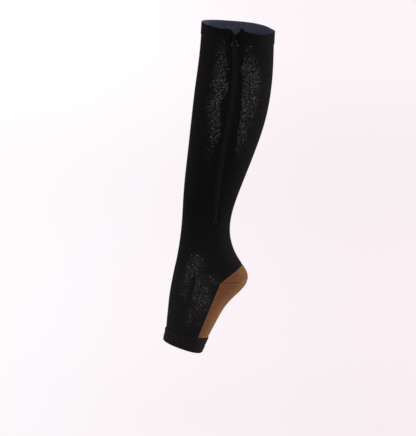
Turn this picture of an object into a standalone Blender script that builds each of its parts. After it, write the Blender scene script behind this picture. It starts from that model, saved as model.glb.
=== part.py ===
"""Knee-high zip-up compression stocking with an open toe, in the hollow form that it has when worn.

The leg leans back a little and the foot points down. +Z is up, the toes and the shin face -X, the calf
and the heel face +X, and the zip runs down the -Y side. The origin is the centre of the top opening.

The cloth is one tube. Its outer face is worked out from SECTIONS, and any place on it is a spot:
(down, turn), the distance down the middle line in millimetres and the angle round it. Every piece of cloth
is a grid of spots with a thickness. Sizes are in millimetres, and become metres where a mesh is made.
"""

import math
from collections import namedtuple

import bmesh
import bpy
import numpy as np
from mathutils import Matrix, Vector

MM = 0.001
SEAM_GAP = 0.3
HALF_GAP = SEAM_GAP / 2

# Cloth: each wall lies between two lifts, which are heights above the tube's outer face.
KNIT_WALL = (0.0, -1.2)
WELT_WALL = (0.8, -1.2)  # the top band is knitted double
CUFF_WALL = (1.5, -1.2)  # the toe band is folded, over elastic
WELT_DEPTH = 20.0
RIM_COLUMNS = 36
EVEN_DOWN = 370.0  # from here down, the leg's columns are evenly spaced

# Zip: a coil chain on woven tape, behind a slot in the knit.
ZIP_TOP = 8.3  # down the middle line, to the top of the slider
ZIP_STOP = 284.2
ZIP_SLOT_END = 290.7
TAPE_END = 297.5
SLOT_HALF = 5.3
TAPE_HALF = 12.5
TAPE_WALL = (-1.8, -2.7)
TAPE_EDGE = 0.3
TAPE_MARGIN = 0.5  # the leg has a column of its grid this far outside each tape
CHAIN_HALF = 2.65
CHAIN_EDGE = 0.15
CHAIN_LIFT = (0.8, -1.4)
CHAIN_CHAMFER = (0.6, 0.7)  # across and down, on the teeth's outer shoulder
STAPLE = (3.15, 1.0, -1.5)  # the bottom stop's half width, top and bottom
STAPLE_LONG = 2.9
STAPLE_CHAMFER = 0.5
NOTCH_HALF = 9.6  # half the V at the rim
NOTCH_DEPTH = 8.0
TAPE_END_HALF = 8.9  # the tapes' top ends fold out of the V this far

# Slider and pull: x is across the zip, y up it and z out of the cloth, from the cloth under the hinge.
HINGE_DOWN = 12.8
HINGE_LIFT = 3.5
SLIDER_TOP, SLIDER_BOTTOM = 4.5, -4.5
PARTING = -1.5  # where the two halves of the chain start to part
SPREAD = 0.12  # how far each half moves out for each millimetre above that
PLATE = (1.1, 2.2)
BACK_PLATE = (-4.1, -3.2)
FLANGE = 0.7
RUNNING_GAP = 0.3
PULL_THICK = 1.2
PULL_LENGTH = 12.5
CROWN_HALF = 1.0
SLOT_IN_PULL = (1.4, -0.6, -5.0)  # half width, top and bottom

Section = namedtuple("Section", "name front_x front_z back_x back_z width egg full")
# Each section is a closed ring in a plane that runs from a front point to a back point and straight across.
# egg > 0 makes it wider towards the back, and full > 0 squarer.
SECTIONS = [
    Section("rim", -52.7, 6.9, 52.7, -6.9, 103, 0.03, 0.02),
    Section("welt", -54.0, -13.0, 51.8, -27.0, 104, 0.04, 0.02),
    Section("below knee", -57.5, -50.0, 50.6, -62.5, 105, 0.06, 0.02),
    Section("upper calf", -62.5, -87.0, 47.0, -100.0, 106, 0.08, 0.02),
    Section("calf", -66.0, -116.0, 41.0, -132.0, 104, 0.08, 0.02),
    Section("lower calf", -70.0, -152.5, 29.0, -171.0, 98, 0.07, 0.02),
    Section("shin", -74.0, -189.0, 15.0, -208.0, 88, 0.04, 0.03),
    Section("lower shin", -78.0, -225.5, 1.5, -242.5, 76, 0.0, 0.04),
    Section("above ankle", -80.5, -259.0, -8.5, -273.0, 67, -0.04, 0.06),
    Section("ankle", -82.2, -287.0, -11.9, -298.0, 63, -0.05, 0.08),
    Section("tendon", -84.3, -307.5, -9.2, -318.0, 63, -0.06, 0.1),
    Section("above heel", -86.5, -322.5, -2.0, -336.0, 64, -0.06, 0.12),
    Section("heel top", -88.3, -333.0, 5.8, -348.5, 65, -0.06, 0.12),
    Section("upper heel", -90.0, -342.0, 12.6, -360.0, 65, -0.06, 0.12),
    Section("heel", -91.7, -349.5, 14.2, -369.5, 65, -0.05, 0.12),
    Section("lower heel", -93.4, -357.0, 10.2, -380.0, 66, -0.04, 0.12),
    Section("heel end", -95.2, -365.5, 0.5, -391.0, 67, -0.02, 0.12),
    Section("waist", -97.2, -375.5, -10.5, -401.5, 68, 0.0, 0.12),
    Section("arch", -99.4, -388.0, -21.0, -414.5, 70, 0.03, 0.12),
    Section("lower arch", -101.2, -401.0, -27.6, -425.5, 73, 0.06, 0.13),
    Section("sole", -102.6, -415.0, -32.7, -435.0, 76, 0.09, 0.14),
    Section("ball", -104.0, -428.5, -38.0, -445.0, 79, 0.11, 0.15),
    Section("cuff", -105.2, -442.0, -43.5, -455.5, 81, 0.12, 0.15),
    Section("toe edge", -107.4, -459.5, -53.5, -476.0, 82, 0.12, 0.15),
]

RimLift = namedtuple("RimLift", "turn_deg lift")
# How far the top edge stands above its section, round the rim from the shin by the zip side.
RIM_LIFTS = [
    RimLift(-115, 3.0),
    RimLift(-96, 2.6),
    RimLift(-77, 1.8),
    RimLift(-51, 1.1),
    RimLift(-25, 0.4),
    RimLift(0, -0.3),
    RimLift(28, -2.0),
    RimLift(45, -2.5),
    RimLift(62, -3.3),
    RimLift(72, -2.1),
    RimLift(79, -0.6),
    RimLift(96, 2.4),
    RimLift(101, -2.2),
    RimLift(108, -3.8),
    RimLift(120, -4.6),
    RimLift(133, -4.8),
    RimLift(147, -3.8),
    RimLift(160, -2.4),
    RimLift(180, -0.4),
    RimLift(205, 0.4),
    RimLift(214, 1.4),
    RimLift(226, 2.4),
    RimLift(245, 3.0),
]

# Seen from the side, as (x, z): the lines where black meets copper are straight.
CORNER = (-26.0, -372.5)  # where the heel top, the heel seam and the sole edge meet
HEEL_TIP = (1.2, 0.4)  # the heel top's point stands this far from the corner
HEEL_TOP_BACK = (5.7, -349.0)
HEEL_SEAM_ANGLE = math.radians(-2)
HEEL_END = (-28.7, -379.0)
HEEL_END_ANGLE = math.radians(-39)
SOLE_CORNER = (-58.7, -451.0)
FURTHEST_BACK = 150.0  # no such line is longer
ZIP_ROUTE = [(-5, 12), (-5, -40), (-5.6, -78), (-13, -130), (-22.6, -187), (-29.8, -240), (-34.6, -300)]

Finish = namedtuple("Finish", "colour roughness metallic")
FINISHES = {
    "black_knit": Finish((0.012, 0.011, 0.012), 0.9, 0.0),
    "copper_knit": Finish((0.19, 0.075, 0.035), 0.85, 0.0),
    "zip_tape": Finish((0.015, 0.015, 0.016), 0.8, 0.0),
    "zip_chain": Finish((0.02, 0.02, 0.021), 0.45, 0.0),
    "black_metal": Finish((0.01, 0.01, 0.011), 0.35, 1.0),
}


def natural_spline(knots, values):
    """A smooth curve through the values, as a function of the distance along the knots."""
    knots, values = np.array(knots, float), np.array(values, float)
    steps = np.diff(knots)
    slopes = np.diff(values, axis=0) / steps.reshape(-1, *[1] * (values.ndim - 1))
    system, right = np.eye(len(knots)), np.zeros_like(values)
    for i in range(1, len(knots) - 1):
        system[i, i - 1 : i + 2] = steps[i - 1], 2 * (steps[i - 1] + steps[i]), steps[i]
        right[i] = 6 * (slopes[i] - slopes[i - 1])
    bends = np.linalg.solve(system, right)

    def at(place):
        i = int(np.clip(np.searchsorted(knots, place) - 1, 0, len(steps) - 1))
        step, past, left = steps[i], place - knots[i], knots[i + 1] - place
        bent = (bends[i] * left**3 + bends[i + 1] * past**3) / (6 * step)
        straight = (values[i] / step - bends[i] * step / 6) * left
        return bent + straight + (values[i + 1] / step - bends[i + 1] * step / 6) * past

    return at


# ---- The tube


def middle_line():
    """The distance down the middle line at each section."""
    middles = [((s.front_x + s.back_x) / 2, (s.front_z + s.back_z) / 2) for s in SECTIONS]
    return np.concatenate([[0], np.cumsum(np.linalg.norm(np.diff(middles, axis=0), axis=1))])


DOWNS = middle_line()
section_at = natural_spline(DOWNS, [list(s[1:]) for s in SECTIONS])
zip_x_at = natural_spline([-z for _, z in ZIP_ROUTE], [x for x, _ in ZIP_ROUTE])
rim_lift_at = natural_spline([r.turn_deg for r in RIM_LIFTS], [r.lift for r in RIM_LIFTS])
CUFF_DOWN, TOE_DOWN = DOWNS[-2], DOWNS[-1]


def ring_line(down):
    """The middle of a ring and the step from there to its back point, seen from the side."""
    front_x, front_z, back_x, back_z = section_at(down)[:4]
    middle = np.array([(front_x + back_x) / 2, (front_z + back_z) / 2])
    return middle, np.array([back_x, back_z]) - middle


def skin(down, turn):
    """A point of the tube's outer face. turn is 0 at the shin, about pi/2 at the zip and pi at the calf."""
    middle, to_back = ring_line(down)
    width, egg, full = section_at(down)[4:]
    back = -math.cos(turn)
    x, z = middle + back * to_back
    y = -width / 2 * math.sin(turn) * (1 + egg * back + full * back * back)
    return np.array([x, y, z])


def outwards(down, turn):
    """The tube's outward direction at a spot."""
    step = 0.01
    along = skin(down + step, turn) - skin(down - step, turn)
    around = skin(down, turn + step) - skin(down, turn - step)
    normal = np.cross(along, around)
    return normal / np.linalg.norm(normal)


def lifted(spot, lift):
    return skin(*spot) + lift * outwards(*spot)


def turn_of(share):
    """The turn on the zip's side, for a share of the way from a ring's middle to its back point."""
    return math.acos(-min(1.0, max(-1.0, share)))


def turn_on_line(down, start, end):
    """The turn where a ring crosses a straight line seen from the side."""
    middle, to_back = ring_line(down)
    line = np.array(end) - start
    away = np.array(start) - middle
    return turn_of(np.cross(away, line) / np.cross(to_back, line))


def down_through(point):
    """How far down the ring lies that runs through a point seen from the side."""

    def below(down):
        middle, to_back = ring_line(down)
        return np.cross(to_back, np.array(point) - middle)

    low, high = -10.0, TOE_DOWN + 10
    for _ in range(50):
        half = (low + high) / 2
        low, high = (low, half) if below(half) > 0 else (half, high)
    return (low + high) / 2


def share_at(point):
    """A side-view point's ring, and its share of the way from that ring's middle to its back point."""
    down = down_through(point)
    middle, to_back = ring_line(down)
    return down, (np.array(point) - middle) @ to_back / (to_back @ to_back)


def across_back(start, angle, count):
    """Spots round the back, from the zip's side to the far side, on the upright plane of a side-view line."""
    start, heading = np.array(start), np.array([math.cos(angle), math.sin(angle)])
    low, high = 0.0, FURTHEST_BACK
    for _ in range(50):
        reach = (low + high) / 2
        low, high = (reach, high) if share_at(start + reach * heading)[1] < 1 else (low, reach)
    spots = []
    for i in range(count + 1):
        sweep = math.pi * i / count
        down, share = share_at(start + low * math.sin(sweep) * heading)
        turn = turn_of(share)
        spots.append((down, turn if i <= count / 2 else 2 * math.pi - turn))
    return spots


def zip_turn(down):
    """The turn of the zip's middle on a ring."""
    middle, to_back = ring_line(down)
    share = 0.0
    for _ in range(20):
        z = middle[1] + share * to_back[1]
        share = (zip_x_at(-z) - middle[0]) / to_back[0]
    return turn_of(share)


def beside_zip(down, across):
    """The spot that lies so many millimetres from the zip's middle, towards the calf if positive."""
    turn, step = zip_turn(down), 0.001
    reach = np.linalg.norm(skin(down, turn + step) - skin(down, turn)) / step
    return down, turn + across / reach


# ---- Making meshes


def finish(name):
    material = bpy.data.materials.get(name)
    if material is None:
        material = bpy.data.materials.new(name)
        material.use_nodes = True
        shader = material.node_tree.nodes["Principled BSDF"]
        shader.inputs["Base Color"].default_value = (*FINISHES[name].colour, 1)
        shader.inputs["Roughness"].default_value = FINISHES[name].roughness
        shader.inputs["Metallic"].default_value = FINISHES[name].metallic
    return material


def add_object(name, mesh, material):
    made = bpy.data.objects.new(name, mesh)
    made.data.materials.append(finish(material))
    bpy.context.scene.collection.objects.link(made)
    return made


def mesh_of(name, points, faces):
    """A closed mesh whose faces point outwards, from points in millimetres."""
    mesh = bpy.data.meshes.new(name)
    mesh.from_pydata([Vector(p) * MM for p in points], [], faces)
    shape = bmesh.new()
    shape.from_mesh(mesh)
    bmesh.ops.recalc_face_normals(shape, faces=shape.faces)
    if shape.calc_volume(signed=True) < 0:
        bmesh.ops.reverse_faces(shape, faces=shape.faces)
    shape.to_mesh(mesh)
    shape.free()
    mesh.shade_smooth()
    mesh.set_sharp_from_angle(angle=math.radians(40))
    return mesh


def cloth(name, grid, wall, material, skip=(), same=None):
    """A wall of cloth over a grid of spots. skip names open cells, and same joins places that are one."""
    same = same or {}
    cells = []
    for i in range(len(grid) - 1):
        for j in range(len(grid[0]) - 1):
            if (i, j) not in skip:
                corners = [(i, j), (i, j + 1), (i + 1, j + 1), (i + 1, j)]
                cells.append([same.get(c, c) for c in corners])
    places = sorted({c for cell in cells for c in cell})
    number = {place: n for n, place in enumerate(places)}
    points = [lifted(grid[i][j], lift) for lift in wall for i, j in places]
    under = len(places)
    sides = {(a, b) for cell in cells for a, b in zip(cell, cell[1:] + cell[:1])}
    faces = [[number[c] for c in cell] for cell in cells]
    faces += [[number[c] + under for c in reversed(cell)] for cell in cells]
    faces += [
        [number[b], number[a], number[a] + under, number[b] + under]
        for a, b in sorted(sides)
        if (b, a) not in sides
    ]
    return add_object(name, mesh_of(name, points, faces), material)


def strip(name, downs, profile, material):
    """A bar along the zip. profile(down) is its outline there, as (across, lift) corners."""
    points = [lifted(beside_zip(d, across), lift) for d in downs for across, lift in profile(d)]
    size = len(profile(downs[0]))
    faces = [list(range(size)), list(range(len(points) - size, len(points)))]
    for row in range(0, len(points) - size, size):
        for k in range(size):
            after = (k + 1) % size
            faces.append([row + k, row + after, row + size + after, row + size + k])
    return add_object(name, mesh_of(name, points, faces), material)


def slab(name, outline, low, high, plane="xy"):
    """A plate from an outline of (u, v) corners, between two heights along the plane's third axis."""
    order = {"xy": lambda u, v, w: (u, v, w), "yz": lambda u, v, w: (w, u, v)}[plane]
    points = [order(u, v, w) for w in (low, high) for u, v in outline]
    size = len(outline)
    faces = [list(range(size)), list(range(size, 2 * size))]
    faces += [[k, (k + 1) % size, (k + 1) % size + size, k + size] for k in range(size)]
    return mesh_of(name, points, faces)


def combine(base, mesh, operation):
    """Adds a mesh to the base object, or cuts it away."""
    other = bpy.data.objects.new(base.name + "_tool", mesh)
    bpy.context.scene.collection.objects.link(other)
    other.parent = base
    other.hide_render = True
    other.display_type = "WIRE"
    modifier = base.modifiers.new(mesh.name, "BOOLEAN")
    modifier.operation = operation
    modifier.object = other


def mirrored(half):
    """An outline from its +X half, given from the bottom to the top."""
    return half + [(-x, y) for x, y in reversed(half)]


def arc(centre, radius, start_deg, end_deg, steps):
    angles = [math.radians(start_deg + (end_deg - start_deg) * i / steps) for i in range(steps + 1)]
    return [(centre[0] + radius * math.cos(a), centre[1] + radius * math.sin(a)) for a in angles]


def evenly(start, end, cells):
    return [start + (end - start) * i / cells for i in range(cells + 1)]


# ---- Cloth pieces


def slot_half(down):
    """Half the width of the slot for the zip. It opens into a V at the rim."""
    opened = max(0.0, 1 - down / NOTCH_DEPTH)
    return SLOT_HALF + (NOTCH_HALF - SLOT_HALF) * opened


def columns_round(down, back_turn, near_cells=8, far_cells=26):
    """Turns from the back, by the tape's and the slot's edges, the shin and the far side, to the back."""
    tape = TAPE_HALF + TAPE_MARGIN
    beside = [beside_zip(min(down, ZIP_SLOT_END), x)[1] for x in (tape, SLOT_HALF, -SLOT_HALF, -tape)]
    by_zip = evenly(back_turn, beside[0], near_cells) + beside[1:3]
    by_zip += evenly(beside[3], -back_turn, far_cells)
    even = evenly(back_turn, -back_turn, len(by_zip) - 1)
    share = min(1.0, max(0.0, (down - ZIP_SLOT_END) / (EVEN_DOWN - ZIP_SLOT_END)))
    return [a + share * (b - a) for a, b in zip(by_zip, even)]


def rim_lift(turn):
    """How far the top edge stands above its section, for any turn from the zip round to the zip again."""
    degrees = math.degrees(turn)
    if degrees > RIM_LIFTS[-1].turn_deg:
        degrees -= 360
    return rim_lift_at(max(RIM_LIFTS[0].turn_deg, degrees))


def make_welt():
    """The double top band. Its upper edge rises and falls, and parts in a V at the zip."""
    rows = []
    for share in evenly(0, 1, 3):
        down = share * (WELT_DEPTH - HALF_GAP)
        behind = beside_zip(down, slot_half(down))[1]
        before = beside_zip(down, -slot_half(down))[1]
        turns = evenly(behind, before + 2 * math.pi, RIM_COLUMNS)
        rows.append([(down - (1 - share) * rim_lift(turn), turn) for turn in turns])
    return cloth("welt", rows, WELT_WALL, "black_knit")


def make_leg():
    """The black knit from the welt to the toe cuff, with a slot for the zip and a cut-out for the copper."""
    heel_line = (shifted(CORNER, -HALF_GAP, HALF_GAP), shifted(HEEL_TOP_BACK, 0, HALF_GAP))
    sole_line = (heel_line[0], shifted(SOLE_CORNER, -HALF_GAP, 0))
    heel_down, corner_down = down_through(heel_line[1]), down_through(heel_line[0])
    downs = evenly(WELT_DEPTH + HALF_GAP, ZIP_SLOT_END, 22)
    slot_row = len(downs) - 1
    downs += evenly(ZIP_SLOT_END, heel_down, 4)[1:]
    notch_row = len(downs) - 1
    downs += [heel_down + (corner_down - heel_down) * share**2 for share in evenly(0, 1, 6)[1:]]
    downs += evenly(corner_down, CUFF_DOWN - HALF_GAP, 7)[1:]
    rows = []
    for down in downs:
        back_turn = math.pi
        if down > heel_down:
            line = heel_line if down < corner_down else sole_line
            back_turn = turn_on_line(down, *line)
        rows.append([(down, turn) for turn in columns_round(down, back_turn)])
    last, slot_column = len(rows[0]) - 1, 9
    skip = {(i, slot_column) for i in range(slot_row)}
    same = {(i, last): (i, 0) for i in range(notch_row + 1)}
    return cloth("leg", rows, KNIT_WALL, "black_knit", skip, same)


def shifted(point, x, z):
    return (point[0] + x, point[1] + z)


def copper_rows(first, last, cells, count=20):
    """Rows of spots round the back, from one side-view line to the next. A line is a start and an angle."""
    rows = []
    for share in evenly(0, 1, cells):
        start = [a + share * (b - a) for a, b in zip(first[0], last[0])]
        rows.append(across_back(start, first[1] + share * (last[1] - first[1]), count))
    return rows


def make_heel_and_sole():
    """The copper pieces: the heel above its seam, the heel below it, and the sole."""
    rise = math.atan2(HEEL_TOP_BACK[1] - CORNER[1], HEEL_TOP_BACK[0] - CORNER[0])
    tip = shifted(CORNER, *HEEL_TIP)
    top = (shifted(tip, HALF_GAP, HALF_GAP), rise)
    seam = (shifted(tip, HALF_GAP, -HALF_GAP), HEEL_SEAM_ANGLE)
    cloth("heel_top", copper_rows(top, seam, 4), KNIT_WALL, "copper_knit")
    below_seam = (shifted(CORNER, HALF_GAP, -HALF_GAP), HEEL_SEAM_ANGLE)
    above_end = (shifted(HEEL_END, HALF_GAP, HALF_GAP), HEEL_END_ANGLE)
    cloth("heel_base", copper_rows(below_seam, above_end, 4), KNIT_WALL, "copper_knit")
    below_end = (shifted(HEEL_END, HALF_GAP, -HALF_GAP), HEEL_END_ANGLE)
    cuff_step = ring_line(CUFF_DOWN)[1]
    at_cuff = (shifted(SOLE_CORNER, HALF_GAP, HALF_GAP), math.atan2(cuff_step[1], cuff_step[0]))
    cloth("sole", copper_rows(below_end, at_cuff, 8), KNIT_WALL, "copper_knit")


def make_toe_cuff():
    """The folded band round the open toe."""
    turns = evenly(0, 2 * math.pi, RIM_COLUMNS)
    rows = [[(down, turn) for turn in turns] for down in evenly(CUFF_DOWN + HALF_GAP, TOE_DOWN, 2)]
    same = {(i, RIM_COLUMNS): (i, 0) for i in range(len(rows))}
    return cloth("toe_cuff", rows, CUFF_WALL, "black_knit", same=same)


# ---- Zip


def parted(down):
    """How far each half of the chain has moved out from the middle, inside the slider and above it."""
    return SPREAD * max(0.0, HINGE_DOWN - PARTING - down)


def tape_edge(down):
    """The tape's edge beside the chain. Above the slider the tape folds out into the V."""
    edge = TAPE_EDGE + parted(down)
    folded = max(0.0, 1 - down / ZIP_TOP)
    return edge + (TAPE_END_HALF - edge) * folded


def make_tapes():
    downs = evenly(2.6, ZIP_TOP, 2) + evenly(ZIP_TOP, HINGE_DOWN - PARTING, 3)[1:]
    downs += evenly(downs[-1], TAPE_END, 22)[1:]
    for name, side in (("zip_tape_front", -1), ("zip_tape_back", 1)):
        rows = []
        for down in downs:
            acrosses = evenly(tape_edge(down), TAPE_HALF, 3)
            rows.append([beside_zip(down, side * a) for a in acrosses])
        cloth(name, rows, TAPE_WALL, "zip_tape")


def make_chain():
    top, bottom = CHAIN_LIFT
    downs = evenly(ZIP_TOP + 0.5, HINGE_DOWN - PARTING, 3)
    downs += evenly(downs[-1], ZIP_STOP, 30)[1:]
    for name, side in (("zip_chain_front", -1), ("zip_chain_back", 1)):

        def profile(down, side=side):
            inner, outer = CHAIN_EDGE + parted(down), CHAIN_HALF + parted(down)
            in_by, down_by = CHAIN_CHAMFER
            shoulder = [(outer - in_by, top), (outer, top - down_by)]
            corners = [(inner, bottom), (inner, top), *shoulder, (outer, bottom)]
            return [(side * across, lift) for across, lift in corners]

        strip(name, downs, profile, "zip_chain")


def make_bottom_stop():
    """The staple that ends the chain."""
    wide, top, bottom = STAPLE
    outline = mirrored([(wide, bottom), (wide, top - STAPLE_CHAMFER), (wide - STAPLE_CHAMFER, top)])
    start = ZIP_STOP + SEAM_GAP
    strip("zip_bottom_stop", (start, start + STAPLE_LONG), lambda down: outline, "black_metal")


def hinge_frame():
    """The axes at the cloth under the hinge: across the zip, up it, and out of the cloth."""
    down = HINGE_DOWN
    turn = zip_turn(down)
    out = Vector(outwards(down, turn))
    up = Vector(skin(down - 2, zip_turn(down - 2)) - skin(down + 2, zip_turn(down + 2)))
    up = (up - up.project(out)).normalized()
    across = up.cross(out)
    axes = Matrix((across, up, out)).transposed().to_4x4()
    return Matrix.Translation(Vector(skin(down, turn)) * MM) @ axes


def inner_half(y):
    """Half the width between the slider's side walls, so that the parting chain runs free."""
    return CHAIN_HALF + RUNNING_GAP + SPREAD * max(0.0, y - PARTING)


def make_slider(frame):
    """Two plates held apart by a wedge, with side walls round the chain, and a crown for the pull."""
    shoulder, nose = 3.2, 2.7
    outer = [(inner_half(y) + FLANGE, y) for y in (SLIDER_BOTTOM + 0.6, PARTING, shoulder)]
    outline = mirrored([(outer[0][0] - 0.6, SLIDER_BOTTOM), *outer, (nose, SLIDER_TOP)])
    slider = add_object("zip_slider", slab("slider_plate", outline, *PLATE), "black_metal")
    slider.matrix_world = frame
    wall_low = TAPE_WALL[0] + RUNNING_GAP
    for side in (-1, 1):
        walls = [(side * (inner_half(y) + edge), y) for y, edge in _flange_outline(shoulder)]
        combine(slider, slab("side_wall", walls, wall_low, PLATE[0] + 0.2), "UNION")
    wedge = mirrored([(0.1, 1.4), (0.5, SLIDER_TOP - 0.5), (0.5, SLIDER_TOP - 0.1)])
    combine(slider, slab("wedge", wedge, BACK_PLATE[1] - 0.2, PLATE[0] + 0.2), "UNION")
    back = mirrored([(2.9, SLIDER_BOTTOM + 0.2), (3.3, PARTING), (3.8, shoulder), (2.5, SLIDER_TOP - 0.05)])
    combine(slider, slab("back_plate", back, *BACK_PLATE), "UNION")
    foot, tunnel_top = PLATE[1] - 0.2, HINGE_LIFT + 1.1
    crown = [(-2.9, foot), (-2.4, 4.6), (-1.5, 5.5), (1.5, 5.5), (2.4, 4.6), (2.9, foot)]
    crown += [(1.3, foot), (1.3, tunnel_top), (-1.3, tunnel_top), (-1.3, foot)]
    combine(slider, slab("crown", crown, -CROWN_HALF, CROWN_HALF, "yz"), "UNION")
    return slider


def _flange_outline(shoulder):
    """The side wall's plan, as (y, distance out from the chain's channel)."""
    ys = (SLIDER_BOTTOM + 0.6, PARTING, shoulder)
    return [(y, 0.0) for y in ys] + [(y, FLANGE - 0.02) for y in reversed(ys)]


def make_pull(frame):
    """The tab that hangs on the crown. Its object's origin is on the hinge."""
    half_top, half_bottom, corner = 2.7, 5.2, 1.6
    side = arc((half_bottom - corner, corner - PULL_LENGTH), corner, -90, 0, 4)
    outline = mirrored([*side, (half_top, -4.5), (half_top, 0.1), (half_top - 0.5, 0.6)])
    half_thick = PULL_THICK / 2
    pull = add_object("zip_pull", slab("pull_plate", outline, -half_thick, half_thick), "black_metal")
    pull.matrix_world = frame @ Matrix.Translation((0, 0, HINGE_LIFT * MM))
    half, top, bottom = SLOT_IN_PULL
    slot = [(-half, bottom), (half, bottom), (half, top), (-half, top)]
    combine(pull, slab("pull_slot", slot, -2, 2), "DIFFERENCE")
    panel = mirrored([(3.4, 1.8 - PULL_LENGTH), (4.0, 2.4 - PULL_LENGTH), (1.9, -6.6), (1.5, -6.2)])
    combine(pull, slab("pull_panel", panel, half_thick - 0.35, 2), "DIFFERENCE")
    return pull


def clear_scene():
    for found in list(bpy.data.objects):
        bpy.data.objects.remove(found)


def main():
    clear_scene()
    make_welt()
    make_leg()
    make_heel_and_sole()
    make_toe_cuff()
    make_tapes()
    make_chain()
    make_bottom_stop()
    frame = hinge_frame()
    make_slider(frame)
    make_pull(frame)
    print("hinge at", [round(x, 6) for x in frame @ Vector((0, 0, HINGE_LIFT * MM))])
    print("hinge axis", [round(x, 6) for x in frame.to_3x3() @ Vector((1, 0, 0))])


main()
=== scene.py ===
# %% [markdown]
# # An open-toe compression stocking with a side zip
#
# The object is one knitted tube: black on the leg, copper-coloured on the heel and the sole, with a double
# band at the top and a folded band round the open toe. A zip on woven tape runs down one side. It is shown in
# the hollow form that it has when it is worn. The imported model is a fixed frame, and this script makes the
# cloth, the zip and their finishes around it, at the same sizes.

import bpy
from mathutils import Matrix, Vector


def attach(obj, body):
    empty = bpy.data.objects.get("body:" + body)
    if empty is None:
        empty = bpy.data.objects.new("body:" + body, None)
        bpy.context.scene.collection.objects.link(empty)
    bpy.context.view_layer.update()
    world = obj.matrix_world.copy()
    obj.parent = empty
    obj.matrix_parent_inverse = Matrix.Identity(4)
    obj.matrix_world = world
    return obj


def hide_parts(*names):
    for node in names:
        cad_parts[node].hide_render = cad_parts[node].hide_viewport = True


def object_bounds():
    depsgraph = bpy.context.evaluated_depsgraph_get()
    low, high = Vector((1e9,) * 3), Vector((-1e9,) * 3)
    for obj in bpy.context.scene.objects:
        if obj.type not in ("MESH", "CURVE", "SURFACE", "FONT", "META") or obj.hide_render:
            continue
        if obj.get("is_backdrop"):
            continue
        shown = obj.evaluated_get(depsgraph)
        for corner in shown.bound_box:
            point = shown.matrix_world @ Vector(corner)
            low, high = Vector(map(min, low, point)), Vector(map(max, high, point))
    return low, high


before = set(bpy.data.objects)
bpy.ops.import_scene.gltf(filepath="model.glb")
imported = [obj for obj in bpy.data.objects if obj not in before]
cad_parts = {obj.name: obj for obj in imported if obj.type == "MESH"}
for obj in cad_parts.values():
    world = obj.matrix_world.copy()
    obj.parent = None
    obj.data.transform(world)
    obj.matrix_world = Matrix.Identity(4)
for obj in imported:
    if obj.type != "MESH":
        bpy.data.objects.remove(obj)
cad_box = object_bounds()
print("nodes:", ", ".join(sorted(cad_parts)))

# %% The tools
import math
from collections import namedtuple

import bmesh
import bpy
import numpy as np
from mathutils import Vector

MM = 0.001
FULL_TURN = 2 * math.pi

# %% [markdown]
# ## The tube
#
# A stocking on a leg has no flat faces and no straight edges, but every ring of stitches is a simple closed
# curve. So the form is a table of rings. Each ring lies in a plane that runs straight across from a front
# point to a back point, and has a width. A smooth curve through the table gives every ring in between. A
# sculpted mesh could hold the same form, but then every seam and stitch would have to be placed by eye.
# Here any place on the cloth is a spot: how far down the middle line it lies, in millimetres, and its turn
# round the tube, which is 0 at the shin and pi at the calf.

# %% The rings, in millimetres
Section = namedtuple("Section", "name front_x front_z back_x back_z width egg full")
# egg > 0 makes a ring wider towards the back, and full > 0 squarer
SECTIONS = [
    Section("rim", -52.7, 6.9, 52.7, -6.9, 103, 0.03, 0.02),
    Section("welt", -54.0, -13.0, 51.8, -27.0, 104, 0.04, 0.02),
    Section("below knee", -57.5, -50.0, 50.6, -62.5, 105, 0.06, 0.02),
    Section("upper calf", -62.5, -87.0, 47.0, -100.0, 106, 0.08, 0.02),
    Section("calf", -66.0, -116.0, 41.0, -132.0, 104, 0.08, 0.02),
    Section("lower calf", -70.0, -152.5, 29.0, -171.0, 98, 0.07, 0.02),
    Section("shin", -74.0, -189.0, 15.0, -208.0, 88, 0.04, 0.03),
    Section("lower shin", -78.0, -225.5, 1.5, -242.5, 76, 0.0, 0.04),
    Section("above ankle", -80.5, -259.0, -8.5, -273.0, 67, -0.04, 0.06),
    Section("ankle", -82.2, -287.0, -11.9, -298.0, 63, -0.05, 0.08),
    Section("tendon", -84.3, -307.5, -9.2, -318.0, 63, -0.06, 0.1),
    Section("above heel", -86.5, -322.5, -2.0, -336.0, 64, -0.06, 0.12),
    Section("heel top", -88.3, -333.0, 5.8, -348.5, 65, -0.06, 0.12),
    Section("upper heel", -90.0, -342.0, 12.6, -360.0, 65, -0.06, 0.12),
    Section("heel", -91.7, -349.5, 14.2, -369.5, 65, -0.05, 0.12),
    Section("lower heel", -93.4, -357.0, 10.2, -380.0, 66, -0.04, 0.12),
    Section("heel end", -95.2, -365.5, 0.5, -391.0, 67, -0.02, 0.12),
    Section("waist", -97.2, -375.5, -10.5, -401.5, 68, 0.0, 0.12),
    Section("arch", -99.4, -388.0, -21.0, -414.5, 70, 0.03, 0.12),
    Section("lower arch", -101.2, -401.0, -27.6, -425.5, 73, 0.06, 0.13),
    Section("sole", -102.6, -415.0, -32.7, -435.0, 76, 0.09, 0.14),
    Section("ball", -104.0, -428.5, -38.0, -445.0, 79, 0.11, 0.15),
    Section("cuff", -105.2, -442.0, -43.5, -455.5, 81, 0.12, 0.15),
    Section("toe edge", -107.4, -459.5, -53.5, -476.0, 82, 0.12, 0.15),
]


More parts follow.
